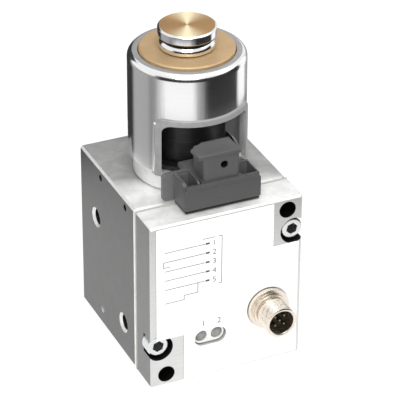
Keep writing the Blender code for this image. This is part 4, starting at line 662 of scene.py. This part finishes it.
# Five numbered wires with square terminals, their free ends joined in steps, and a bracket round the numbers.
marks = bmesh.new()
for k, start in enumerate((-24.4, -25.0, -24.4, -24.4, -24.4)):
    height = 57.0 - k * 3.9
    stroke(marks, start, height, -9.0, height, 0.28)
    stroke(marks, -8.2, height, -7.4, height, 0.8)
    numeral(marks, str(k + 1), -5.9, height - 1.1, 2.2)
for x0, z0, x1, z1 in (
    (-25.0, 53.1, -25.0, 50.9), (-25.0, 50.9, -22.4, 50.9), (-11.6, 41.4, -11.6, 37.4),
    (-11.6, 37.4, -17.0, 37.4), (-17.0, 37.4, -17.0, 35.6), (-17.0, 35.6, -24.4, 35.6),
    (-3.4, 59.2, -2.2, 59.2), (-2.2, 59.2, -2.2, 39.2), (-2.2, 39.2, -3.4, 39.2), (-9.6, 59.2, -5.0, 59.2),
):
    stroke(marks, x0, z0, x1, z1, 0.28)
for digit, x in (("1", -10.1), ("2", -3.9)):
    numeral(marks, digit, x, 22.0, 2.4)
add_piece("label_marks", marks, printing_ink, [])


# Cover screws
# Cylinder-head screws of zinc-plated steel with a socket for a 4 mm key, sunk in counterbores at two corners.

def prism(outline, axis, near, far):
    """A straight bar with a closed outline, in millimetres, along one of the three axes."""
    shape = bmesh.new()
    corners = []
    for u, v in outline:
        corner = [u, v]
        corner.insert(axis, near)
        corners.append(shape.verts.new(Vector(corner) * MM))
    grown = bmesh.ops.extrude_face_region(shape, geom=[shape.faces.new(corners)])
    moved = [g for g in grown["geom"] if isinstance(g, bmesh.types.BMVert)]
    shift = Vector((0, 0, 0))
    shift[axis] = (far - near) * MM
    bmesh.ops.translate(shape, verts=moved, vec=shift)
    bmesh.ops.recalc_face_normals(shape, faces=shape.faces[:])
    return shape


def combine(shape, other, operation):
    """Takes one closed shape out of another, unites them, or keeps what they share."""
    pieces = []
    for part in (shape, other):
        mesh = bpy.data.meshes.new("working")
        part.to_mesh(mesh)
        part.free()
        pieces.append(bpy.data.objects.new("working", mesh))
        bpy.context.scene.collection.objects.link(pieces[-1])
    change = pieces[0].modifiers.new("change", "BOOLEAN")
    change.operation, change.solver, change.object = operation, "EXACT", pieces[1]
    result = bmesh.new()
    result.from_object(pieces[0], bpy.context.evaluated_depsgraph_get())
    for piece in pieces:
        mesh = piece.data
        bpy.data.objects.remove(piece)
        bpy.data.meshes.remove(mesh)
    return result


screw_outline = [
    (0, -1.4), (3.75, -1.4), (4.25, -1.9), (4.25, -6.4), (2.4, -6.4), (2.4, -24.3), (2.0, -24.7), (0, -24.7),
]
for side, (x, z) in zip(("lower", "upper"), screws):
    screw = turned(screw_outline, (x, cover_front, z), ease=0.3, steps=64, facing="front")
    corners = [0.3 + k * math.pi / 3 for k in range(6)]
    socket = [(x + 2.31 * math.cos(a), z + 2.31 * math.sin(a)) for a in corners]
    screw = combine(screw, prism(socket, 1, -27.5, -22.95), "DIFFERENCE")
    screw = add_piece(f"{side}_screw", screw, zinc_plate, [f"cover_screw_{side}"])
    # The socket's inner walls get the painted shade of the bores.
    refinish(screw, painted_shade_bore, lambda face: (
        in_bore(face, screws, 2.35) and -24.5 * MM < face.center.y < -22.9 * MM
    ))


# Pole flange
# The lower pole of the magnet, turned from soft magnetic steel. Only the bright rim of its round foot
# shows, between the body and the pot.

solenoid_axis = (0, 8.65, 0)
flange_outline = [
    (3.75, 88.3), (6.1, 88.3), (6.5, 87.9), (6.5, 75.2), (19.3, 75.2), (19.7, 74.8), (19.7, 68.7),
    (19.3, 68.3), (14.7, 68.3), (14.7, 66.0), (13.3, 66.0), (13.3, 64.3), (14.7, 64.3), (14.7, 62.7),
    (14.3, 62.3), (1.8, 62.3), (1.8, 82.3), (3.75, 82.3),
]
# Dull nickel over the flange: pale and satin, so that it takes its light from the whole room.
dull_nickel, tree = begin_material("dull_nickel")
place = add_node(tree, "ShaderNodeTexCoord").outputs["Object"]
cloud = add_node(tree, "ShaderNodeTexNoise", {
    "Vector": place, "Scale": 1 / (3 * MM), "Detail": 3.0,
}).outputs["Fac"]
tone = add_node(tree, "ShaderNodeMix", {
    "Factor": cloud, 6: colour("#dededd"), 7: colour("#f4f4f3"),
}, data_type="RGBA").outputs[2]
dull = add_node(tree, "ShaderNodeMapRange", {"Value": cloud, "To Min": 0.35, "To Max": 0.5})
metal = add_node(tree, "ShaderNodeBsdfPrincipled", {
    "Base Color": tone, "Metallic": 0.4, "Roughness": dull.outputs[0],
})
add_node(tree, "ShaderNodeOutputMaterial", {"Surface": metal.outputs[0]})
add_piece(
    "turned_flange", turned(flange_outline, solenoid_axis), dull_nickel, ["pole_flange"],
)


# Coil
# Enamelled wire wound on a moulded former and bound with black polyester tape, in overlapping turns 4 mm
# wide.

winding_tape, tree = begin_material("winding_tape")
place = add_node(tree, "ShaderNodeTexCoord").outputs["Object"]
creases = add_node(tree, "ShaderNodeTexNoise", {
    "Vector": add_node(tree, "ShaderNodeMapping", {"Vector": place, "Scale": (80, 80, 900)}).outputs[0],
    "Scale": 1.0, "Detail": 4.0,
}).outputs["Fac"]
tone = add_node(tree, "ShaderNodeMix", {
    "Factor": creases, 6: colour("#0b0b0b"), 7: colour("#1c1c1c"),
}, data_type="RGBA").outputs[2]
dull = add_node(tree, "ShaderNodeMapRange", {"Value": creases, "To Min": 0.3, "To Max": 0.5})
wrap = add_node(tree, "ShaderNodeBump", {"Height": creases, "Strength": 0.3, "Distance": 0.1 * MM})
tape = add_node(tree, "ShaderNodeBsdfPrincipled", {
    "Base Color": tone, "Roughness": dull.outputs[0], "IOR": 1.55, "Normal": wrap.outputs[0],
})
add_node(tree, "ShaderNodeOutputMaterial", {"Surface": tape.outputs[0]})

wound = [(9.4, 109.7), (13.6, 109.7)]
for turn_top in (109.3, 105.4, 101.5, 97.6, 93.7, 89.8, 85.9, 82.0):
    wound += [(14.0, turn_top), (13.95, turn_top - 3.7)]
wound += [(13.6, 77.7), (9.4, 77.7)]
add_piece("taped_winding", turned(wound, solenoid_axis), winding_tape, ["coil_winding"])
former = [
    (8.1, 111.6), (17.5, 111.6), (17.5, 110.0), (9.1, 110.0), (9.1, 77.4), (17.5, 77.4), (17.5, 75.8),
    (8.1, 75.8),
]
add_piece("moulded_former", turned(former, solenoid_axis), black_pbt, ["coil_bobbin"])


# Magnet pot
# Deep-drawn from steel sheet, then ground and polished all round. Its foot is open, its top edge rolls over
# on to the plate, and a raised lip frames the window for the coil's plug.

# Polished steel: bright and slightly warm, with grinding lines round it, 0.05 mm apart, drawn 0.4 mm apart.
polished_steel, tree = begin_material("polished_steel")
place = add_node(tree, "ShaderNodeTexCoord").outputs["Object"]
lines = add_node(tree, "ShaderNodeTexNoise", {
    "Vector": add_node(tree, "ShaderNodeMapping", {"Vector": place, "Scale": (45, 45, 2500)}).outputs[0],
    "Scale": 1.0, "Detail": 3.0,
}).outputs["Fac"]
tone = add_node(tree, "ShaderNodeMix", {
    "Factor": lines, 6: colour("#e9e9e9"), 7: colour("#f8f8f8"),
}, data_type="RGBA").outputs[2]
dull = add_node(tree, "ShaderNodeMapRange", {"Value": lines, "To Min": 0.12, "To Max": 0.2})
ground = add_node(tree, "ShaderNodeBump", {"Height": lines, "Strength": 0.05, "Distance": 0.02 * MM})
metal = add_node(tree, "ShaderNodeBsdfPrincipled", {
    "Base Color": tone, "Metallic": 1.0, "Roughness": dull.outputs[0], "Normal": ground.outputs[0],
})
add_node(tree, "ShaderNodeOutputMaterial", {"Surface": metal.outputs[0]})

pot_outline = [(17.8, 114.6), (17.8, 116.6)]
for k in range(13):
    angle = math.pi / 2 * (1 - k / 12)
    pot_outline.append((19.0 + 2.6 * math.cos(angle), 114.0 + 2.6 * math.sin(angle)))
pot_outline += [(21.6, 76.3), (20.8, 75.5), (19.2, 75.5), (19.2, 114.6)]


def arch(half_width, top, rounding):
    """An upright slab through the front of the pot, with its two upper corners rounded."""
    outline = [(-half_width, 68), (half_width, 68)]
    for side, first in ((1, 0), (-1, 1)):
        corner_x, corner_z = side * (half_width - rounding), top - rounding
        for k in range(9):
            angle = math.pi / 2 * (first + k / 8)
            outline.append((corner_x + rounding * math.cos(angle), corner_z + rounding * math.sin(angle)))
    return prism(outline, 1, -15.35, 3.15)


lip_outline = [(20.4, 98.7), (22.0, 98.7), (22.25, 98.55), (22.4, 98.2), (22.4, 75.5), (20.4, 75.5)]
lip = combine(turned(lip_outline, solenoid_axis, ease=0.0001), arch(18.3, 99.7, 4.7), "INTERSECT")
pot = combine(turned(pot_outline, solenoid_axis), lip, "UNION")
pot = combine(pot, arch(16.6, 96.5, 3.0), "DIFFERENCE")
drawn_pot = add_piece("drawn_pot", pot, polished_steel, ["magnet_pot"], crease=35)

# Satin steel: the pressed lip and the flat rim, left as drawn, dull and grey.
satin_steel, tree = begin_material("satin_steel")
place = add_node(tree, "ShaderNodeTexCoord").outputs["Object"]
cloud = add_node(tree, "ShaderNodeTexNoise", {
    "Vector": place, "Scale": 1 / (2 * MM), "Detail": 4.0,
}).outputs["Fac"]
tone = add_node(tree, "ShaderNodeMix", {
    "Factor": cloud, 6: colour("#868686"), 7: colour("#a0a0a0"),
}, data_type="RGBA").outputs[2]
dull = add_node(tree, "ShaderNodeMapRange", {"Value": cloud, "To Min": 0.4, "To Max": 0.55})
metal = add_node(tree, "ShaderNodeBsdfPrincipled", {
    "Base Color": tone, "Metallic": 0.2, "Roughness": dull.outputs[0],
})
add_node(tree, "ShaderNodeOutputMaterial", {"Surface": metal.outputs[0]})


def reach(face):
    """How far a face of the pot lies from the pot's axis."""
    return math.hypot(face.center.x, face.center.y - solenoid_axis[1] * MM)


refinish(drawn_pot, satin_steel, lambda face: reach(face) > 21.75 * MM or face.normal.z > 0.95)

# Phosphated steel: the inside of the pot and the cut edge of its window, pale grey and matt.
phosphated_steel, tree = begin_material("phosphated_steel")
place = add_node(tree, "ShaderNodeTexCoord").outputs["Object"]
crystals = add_node(tree, "ShaderNodeTexNoise", {
    "Vector": place, "Scale": 1 / (0.4 * MM), "Detail": 3.0,
}).outputs["Fac"]
tone = add_node(tree, "ShaderNodeMix", {
    "Factor": crystals, 6: colour("#dcdcdb"), 7: colour("#f2f2f1"),
}, data_type="RGBA").outputs[2]
coat = add_node(tree, "ShaderNodeBsdfPrincipled", {"Base Color": tone, "Roughness": 0.7, "IOR": 1.5})
add_node(tree, "ShaderNodeOutputMaterial", {"Surface": coat.outputs[0]})
refinish(drawn_pot, phosphated_steel, lambda face: face.normal.z < 0.5 and (
    reach(face) < 19.4 * MM or face.center.z < 97 * MM
    and face.normal.xy.dot(Vector((face.center.x, face.center.y - solenoid_axis[1] * MM)).normalized()) < 0.8
))


# Top plate
# A disc of zinc-plated steel with a yellow chromate coat, which closes the pot and carries the magnet's flux.

yellow_chromate, tree = begin_material("yellow_chromate")
place = add_node(tree, "ShaderNodeTexCoord").outputs["Object"]
bloom = add_node(tree, "ShaderNodeTexNoise", {
    "Vector": place, "Scale": 1 / (5 * MM), "Detail": 4.0,
}).outputs["Fac"]
tone = add_node(tree, "ShaderNodeMix", {
    "Factor": bloom, 6: colour("#b0946d"), 7: colour("#c8ad86"),
}, data_type="RGBA").outputs[2]
dull = add_node(tree, "ShaderNodeMapRange", {"Value": bloom, "To Min": 0.55, "To Max": 0.68})
metal = add_node(tree, "ShaderNodeBsdfPrincipled", {
    "Base Color": tone, "Metallic": 0.6, "Roughness": dull.outputs[0],
})
add_node(tree, "ShaderNodeOutputMaterial", {"Surface": metal.outputs[0]})

plate_outline = [
    (8.1, 117.7), (17.1, 117.7), (17.5, 117.3), (17.5, 114.3), (18.9, 114.3), (18.9, 111.9), (8.1, 111.9),
]
add_piece(
    "chromated_plate", turned(plate_outline, solenoid_axis), yellow_chromate, ["top_plate"],
)


# Retaining nut and end cap
# Two turned and plated rings on top. The nut clamps the plate, and the cap closes the guide tube; its flat
# top is turned brass under a thin clear coat.

# Bright turned steel: mirror-like, with tool rings 0.1 mm apart, drawn 0.3 mm apart.
bright_steel, tree = begin_material("bright_steel")
place = add_node(tree, "ShaderNodeTexCoord").outputs["Object"]
rings = add_node(tree, "ShaderNodeTexNoise", {
    "Vector": add_node(tree, "ShaderNodeMapping", {"Vector": place, "Scale": (60, 60, 3300)}).outputs[0],
    "Scale": 1.0, "Detail": 2.0,
}).outputs["Fac"]
tone = add_node(tree, "ShaderNodeMix", {
    "Factor": rings, 6: colour("#e2e3e4"), 7: colour("#f9f9fa"),
}, data_type="RGBA").outputs[2]
dull = add_node(tree, "ShaderNodeMapRange", {"Value": rings, "To Min": 0.08, "To Max": 0.18})
metal = add_node(tree, "ShaderNodeBsdfPrincipled", {
    "Base Color": tone, "Metallic": 1.0, "Roughness": dull.outputs[0],
})
add_node(tree, "ShaderNodeOutputMaterial", {"Surface": metal.outputs[0]})

nut_outline = [(8.1, 121.3), (9.3, 121.3), (10.3, 119.9), (10.3, 118.4), (9.9, 118.0), (8.1, 118.0)]
add_piece(
    "ring_nut", turned(nut_outline, solenoid_axis, ease=0.7), bright_steel, ["retaining_nut"],
)

# Turned brass face: rings 0.3 mm apart round its middle, so that a lamp shows as two bright fans. The two
# fans are also painted paler along one fixed line through the middle: a painted highlight.
faced_brass, tree = begin_material("faced_brass")
place = add_node(tree, "ShaderNodeTexCoord").outputs["Object"]
middle = add_node(tree, "ShaderNodeMapping", {
    "Vector": place, "Location": (0, -solenoid_axis[1] * MM, 0), "Scale": (1, 1, 0),
})
radius = add_node(tree, "ShaderNodeVectorMath", {0: middle.outputs[0]}, operation="LENGTH").outputs["Value"]
rings = add_node(tree, "ShaderNodeTexNoise", {
    "Vector": add_node(tree, "ShaderNodeCombineXYZ", {
        0: radius,
    }).outputs[0], "Scale": 1 / (0.3 * MM), "Detail": 2.0,
}).outputs["Fac"]
ring_tone = add_node(tree, "ShaderNodeMix", {
    "Factor": rings, 6: colour("#9a7034"), 7: colour("#b78d52"),
}, data_type="RGBA").outputs[2]
# Painted highlight: two pale fans on opposite sides of the middle, along one fixed direction.
outward = add_node(tree, "ShaderNodeVectorMath", {0: middle.outputs[0]}, operation="NORMALIZE").outputs[0]
along = add_node(tree, "ShaderNodeVectorMath", {
    0: outward, 1: (-0.41, -0.91, 0),
}, operation="DOT_PRODUCT").outputs["Value"]
across = add_node(tree, "ShaderNodeMath", {0: along}, operation="ABSOLUTE").outputs[0]
painted_fan_highlight = add_node(tree, "ShaderNodeMath", {0: across, 1: 5.0}, operation="POWER").outputs[0]
tone = add_node(tree, "ShaderNodeMix", {
    "Factor": painted_fan_highlight, 6: ring_tone, 7: colour("#f2e2bb"),
}, data_type="RGBA").outputs[2]
around = add_node(tree, "ShaderNodeTangent", direction_type="RADIAL", axis="Z").outputs[0]
metal = add_node(tree, "ShaderNodeBsdfPrincipled", {
    "Base Color": tone, "Metallic": 1.0, "Roughness": 0.32, "Anisotropic": 0.9, "Anisotropic Rotation": 0.25,
    "Tangent": around, "Coat Weight": 0.3, "Coat Roughness": 0.25,
})
add_node(tree, "ShaderNodeOutputMaterial", {"Surface": metal.outputs[0]})

cap_outline = [
    (0, 126.1), (10.1, 126.1), (10.7, 125.6), (10.7, 122.8), (10.3, 122.5), (10.3, 122.0), (6.5, 122.0),
    (6.5, 108.7), (0, 108.7),
]
cap = add_piece("turned_cap", turned(cap_outline, solenoid_axis), bright_steel, ["end_cap"])
refinish(cap, faced_brass, lambda face: face.normal.z > 0.99 and face.center.z > 126 * MM)
# The narrow gap under the cap's rim gets the painted shade of the bores.
refinish(cap, painted_shade_bore, lambda face: 121.9 * MM < face.center.z < 122.7 * MM)


# Plug housing
# Injection-moulded from glass-filled nylon, dark grey and satin; it is painted paler towards the coil, as
# painted light. Its edges are softly rounded, and its top has open pockets on both sides of the tower.

filled_nylon, tree = begin_material("filled_nylon")
place = add_node(tree, "ShaderNodeTexCoord").outputs["Object"]
fleck = add_node(tree, "ShaderNodeTexNoise", {
    "Vector": place, "Scale": 1 / (0.5 * MM), "Detail": 4.0,
}).outputs["Fac"]
near = add_node(tree, "ShaderNodeMix", {
    "Factor": fleck, 6: colour("#373738"), 7: colour("#4b4b4c"),
}, data_type="RGBA").outputs[2]
far = add_node(tree, "ShaderNodeMix", {
    "Factor": fleck, 6: colour("#545455"), 7: colour("#6e6e6f"),
}, data_type="RGBA").outputs[2]
# Painted light: the nylon is painted paler towards the coil.
depth = add_node(tree, "ShaderNodeSeparateXYZ", {"Vector": place}).outputs["Y"]
painted_light_to_coil = add_node(tree, "ShaderNodeMapRange", {
    "Value": depth, "From Min": -24 * MM, "From Max": -14 * MM,
}).outputs[0]
tone = add_node(tree, "ShaderNodeMix", {"Factor": painted_light_to_coil, 6: near, 7: far}, data_type="RGBA").outputs[2]
dull = add_node(tree, "ShaderNodeMapRange", {"Value": fleck, "To Min": 0.36, "To Max": 0.52})
skin = add_node(tree, "ShaderNodeBump", {"Height": fleck, "Strength": 0.2, "Distance": 0.04 * MM})
plastic = add_node(tree, "ShaderNodeBsdfPrincipled", {
    "Base Color": tone, "Roughness": dull.outputs[0], "IOR": 1.53, "Normal": skin.outputs[0],
})
add_node(tree, "ShaderNodeOutputMaterial", {"Surface": plastic.outputs[0]})


# The foot, with the shield before the coil, its upper right corner cut straight across.
foot = prism([(-15, -23.45), (15, -23.45), (15, -11.95), (-15, -11.95)], 2, 69.2, 77.6)
shield = eased_outline([(-19.1, 69.2), (19.1, 69.2), (19.1, 72.3), (12.5, 80.1), (-19.1, 80.1)], 1.4)
plug = combine(ease_edges(foot, 0.8 * MM), prism(shield, 1, -13.15, -11.55), "UNION")
neck = [(-10, -13.1), (10, -13.1), (10, -5.7), (-10, -5.7)]
plug = combine(plug, prism(neck, 2, 77.9, 79.7), "UNION")
# A low rim round two pockets, and two upright walls on the left one's sides.
low_rim = [(-14.2, -23.0), (14.2, -23.0), (14.2, -12.7), (-14.2, -12.7)]
plug = combine(plug, prism(low_rim, 2, 76.6, 79.1), "UNION")
for left, right in ((-13.7, -7.8), (7.8, 13.7)):
    pocket = prism([(left, -22.1), (right, -22.1), (right, -13.6), (left, -13.6)], 2, 73.4, 80.5)
    plug = combine(plug, pocket, "DIFFERENCE")
wall = [(-12.7, 73), (-12.7, 80.1)]
for k in range(6):
    angle = math.pi / 2 * (1 + k / 5)
    wall.append((-20.05 + 2.5 * math.cos(angle), 77.6 + 2.5 * math.sin(angle)))
wall.append((-22.55, 73))
for left, right in ((-15.0, -13.7), (-9.4, -8.6)):
    plug = combine(plug, prism(wall, 0, left, right), "UNION")
# The tower, its lid with one corner cut off, and the keyhole.
tower = eased_outline([(-7.2, -22.05), (7.2, -22.05), (7.2, -11.85), (-7.2, -11.85)], 1.6)
plug = combine(plug, prism(tower, 2, 75.6, 88.7), "UNION")
lid_corners = [(-9.1, -22.25), (7.4, -22.25), (7.4, -11.65), (-3.6, -11.65), (-9.1, -14.85)]
lid = prism(lid_corners, 2, 88.3, 89.8)
lid = ease_edges(lid, 1.0 * MM, lambda edge: all(v.co.z > 89 * MM for v in edge.verts))
plug = combine(plug, lid, "UNION")
keyhole_x, keyhole_z = 0.8, 84.9
keyhole = [
    (keyhole_x + 1.4 * math.cos(a), keyhole_z + 1.4 * math.sin(a))
    for a in [k * math.pi / 12 for k in range(24)]
]
plug = combine(plug, prism(keyhole, 1, -23.0, -18.05), "DIFFERENCE")
plug = add_piece("moulded_plug", ease_edges(plug, 0.12 * MM), filled_nylon, ["plug_housing"])
# The keyhole's walls are painted in the insulator's black, as painted shade.
refinish(plug, black_pbt, lambda face: (
    math.hypot(face.center.x - keyhole_x * MM, face.center.z - keyhole_z * MM) < 1.45 * MM
    and -21.9 * MM < face.center.y < -18 * MM
))
dress(turned_brass, "coil_terminal_1", "coil_terminal_2")


# Floor and light
# A plain white floor that runs out of sight, a pale room, and three large soft lamps: one in front at the
# camera's side, one high above it, and a weak one on the right. Grey screens stand round the object where
# only gloss sees them.

studio_floor, tree = begin_material("studio_floor")
path = add_node(tree, "ShaderNodeLightPath")
seen = add_node(tree, "ShaderNodeMath", {
    0: path.outputs["Is Camera Ray"], 1: path.outputs["Is Glossy Ray"],
}, operation="MAXIMUM")
share = add_node(tree, "ShaderNodeMath", {0: seen.outputs[0], 1: 0.75}, operation="MULTIPLY")
paper = add_node(tree, "ShaderNodeBsdfDiffuse", {"Color": colour("#f7f7f7")})
glow = add_node(tree, "ShaderNodeEmission", {"Color": colour("#ffffff"), "Strength": 1.12})
both = add_node(tree, "ShaderNodeMixShader", {0: share.outputs[0], 1: paper.outputs[0], 2: glow.outputs[0]})
add_node(tree, "ShaderNodeOutputMaterial", {"Surface": both.outputs[0]})

floor_mesh = bpy.data.meshes.new("floor")
floor_mesh.from_pydata([(-4, -4, 0), (4, -4, 0), (4, 4, 0), (-4, 4, 0)], [], [(0, 1, 2, 3)])
floor_mesh.materials.append(studio_floor)
floor = bpy.data.objects.new("floor", floor_mesh)
floor.location.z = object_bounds()[0].z - 0.05 * MM
bpy.context.scene.collection.objects.link(floor)

world = bpy.data.worlds.new("pale_room")
bpy.context.scene.world = world
world.use_nodes = True
world.node_tree.nodes.clear()
tree = world.node_tree
path = add_node(tree, "ShaderNodeLightPath")
seen = add_node(tree, "ShaderNodeMath", {
    0: path.outputs["Is Camera Ray"], 1: path.outputs["Is Glossy Ray"],
}, operation="MAXIMUM")
seen = add_node(tree, "ShaderNodeMath", {
    0: seen.outputs[0], 1: path.outputs["Is Transmission Ray"],
}, operation="MAXIMUM")
strength = add_node(tree, "ShaderNodeMapRange", {"Value": seen.outputs[0], "To Min": 0.42, "To Max": 1.0})
sky = add_node(tree, "ShaderNodeBackground", {"Color": colour("#ffffff"), "Strength": strength.outputs[0]})
add_node(tree, "ShaderNodeOutputWorld", {"Surface": sky.outputs[0]})

for name, azimuth, elevation, distance, size, power in (
    ("front_lamp", -24, 33, 1.6, 1.0, 16), ("top_lamp", -20, 74, 1.5, 0.9, 11),
    ("right_lamp", 70, 50, 1.6, 1.0, 4),
):
    lamp_data = bpy.data.lights.new(name, "AREA")
    lamp_data.shape, lamp_data.size, lamp_data.energy = "SQUARE", size, power
    lamp = bpy.data.objects.new(name, lamp_data)
    a, e = math.radians(azimuth), math.radians(elevation)
    towards = Vector((math.sin(a) * math.cos(e), -math.cos(a) * math.cos(e), math.sin(e)))
    lamp.location = Vector((0, 0, 60 * MM)) + towards * distance
    lamp.rotation_euler = (-towards).to_track_quat("-Z", "Y").to_euler()
    bpy.context.scene.collection.objects.link(lamp)

# The grey screens are one band round the object, which only its gloss sees. Their shades are set by the
# bearing, in degrees to the right of straight ahead, and by the height.
screen_card, tree = begin_material("screen_card")
shade = add_node(tree, "ShaderNodeAttribute", attribute_name="shade").outputs["Color"]
card = add_node(tree, "ShaderNodeEmission", {"Color": shade, "Strength": 1.12})
add_node(tree, "ShaderNodeOutputMaterial", {"Surface": card.outputs[0]})


def blend(stops, bearing):
    """The shade between the two stops on either side of a bearing."""
    for (a, first), (b, second) in zip(stops, stops[1:]):
        if a <= bearing <= b:
            share = (bearing - a) / (b - a)
            return [p + (q - p) * share for p, q in zip(colour(first), colour(second))]


low_shades = [
    (-180, "#3a3a3a"), (-143, "#2c2c2c"), (-134, "#a6a6a6"), (-97, "#a2a2a2"), (-91, "#868686"),
    (-70, "#8a8a8a"), (100, "#7e7e7e"), (180, "#7a7a7a"),
]
wall_shades = [
    (-180, "#3a3a3a"), (-143, "#2c2c2c"), (-134, "#a6a6a6"), (-97, "#a2a2a2"), (-91, "#868686"),
    (-81, "#949494"), (-70, "#d8d8d8"), (-60, "#ffffff"), (-14, "#ffffff"), (-6, "#b4b4b4"),
    (3, "#8c8c8c"), (10, "#3c3c3c"), (18, "#2a2a2a"), (76, "#3a3a3a"), (80, "#ffffff"), (104, "#ffffff"),
    (110, "#a0a0a0"), (180, "#7a7a7a"),
]
edge_shades = [
    (-180, "#3a3a3a"), (-143, "#2c2c2c"), (-134, "#a6a6a6"), (-97, "#a2a2a2"), (-80, "#949494"),
    (-68, "#303030"), (76, "#303030"), (80, "#ffffff"), (104, "#ffffff"), (110, "#a0a0a0"),
    (180, "#7a7a7a"),
]
band_radius = 100 * MM
band_points, band_shades = [], []
for bearing in range(-180, 181):
    a = math.radians(bearing)
    low = 36 if bearing > -75 else 27
    top = 178 if bearing < -140 or bearing > 168 else 118 if bearing < -78 or bearing > 108 else 152
    for height, stops in (
        (low, low_shades), (51.5, low_shades), (52.7, wall_shades), (77, wall_shades), (82, edge_shades),
        (top, edge_shades),
    ):
        height = min(height, top)
        band_points.append((band_radius * math.sin(a), -band_radius * math.cos(a), height * MM))
        band_shades += blend(stops, bearing)
screen_mesh = bpy.data.meshes.new("screen")
screen_mesh.from_pydata(band_points, [], [
    (k, k + 6, k + 7, k + 1) for k in range(len(band_points) - 6) if k % 6 != 5
])
screen_mesh.color_attributes.new("shade", "FLOAT_COLOR", "POINT").data.foreach_set("color", band_shades)
screen_mesh.materials.append(screen_card)
screen = bpy.data.objects.new("screen", screen_mesh)
screen.location.y = solenoid_axis[1] * MM
bpy.context.scene.collection.objects.link(screen)
screen.visible_camera = screen.visible_diffuse = screen.visible_shadow = screen.visible_transmission = False


# Camera
# It stands to the left in front of the object, looks down on it by 31 degrees, and has a long lens.

camera_data = bpy.data.cameras.new("camera")
camera_data.lens, camera_data.sensor_width, camera_data.clip_end = 210.28, 36, 10
camera = bpy.data.objects.new("camera", camera_data)
camera.location = (-0.303314, -0.670193, 0.496382)
camera.rotation_euler = [math.radians(turn) for turn in (59.22742, -0.28264, -24.28545)]
bpy.context.scene.collection.objects.link(camera)
bpy.context.scene.camera = camera
bpy.context.scene.view_settings.view_transform = "Standard"
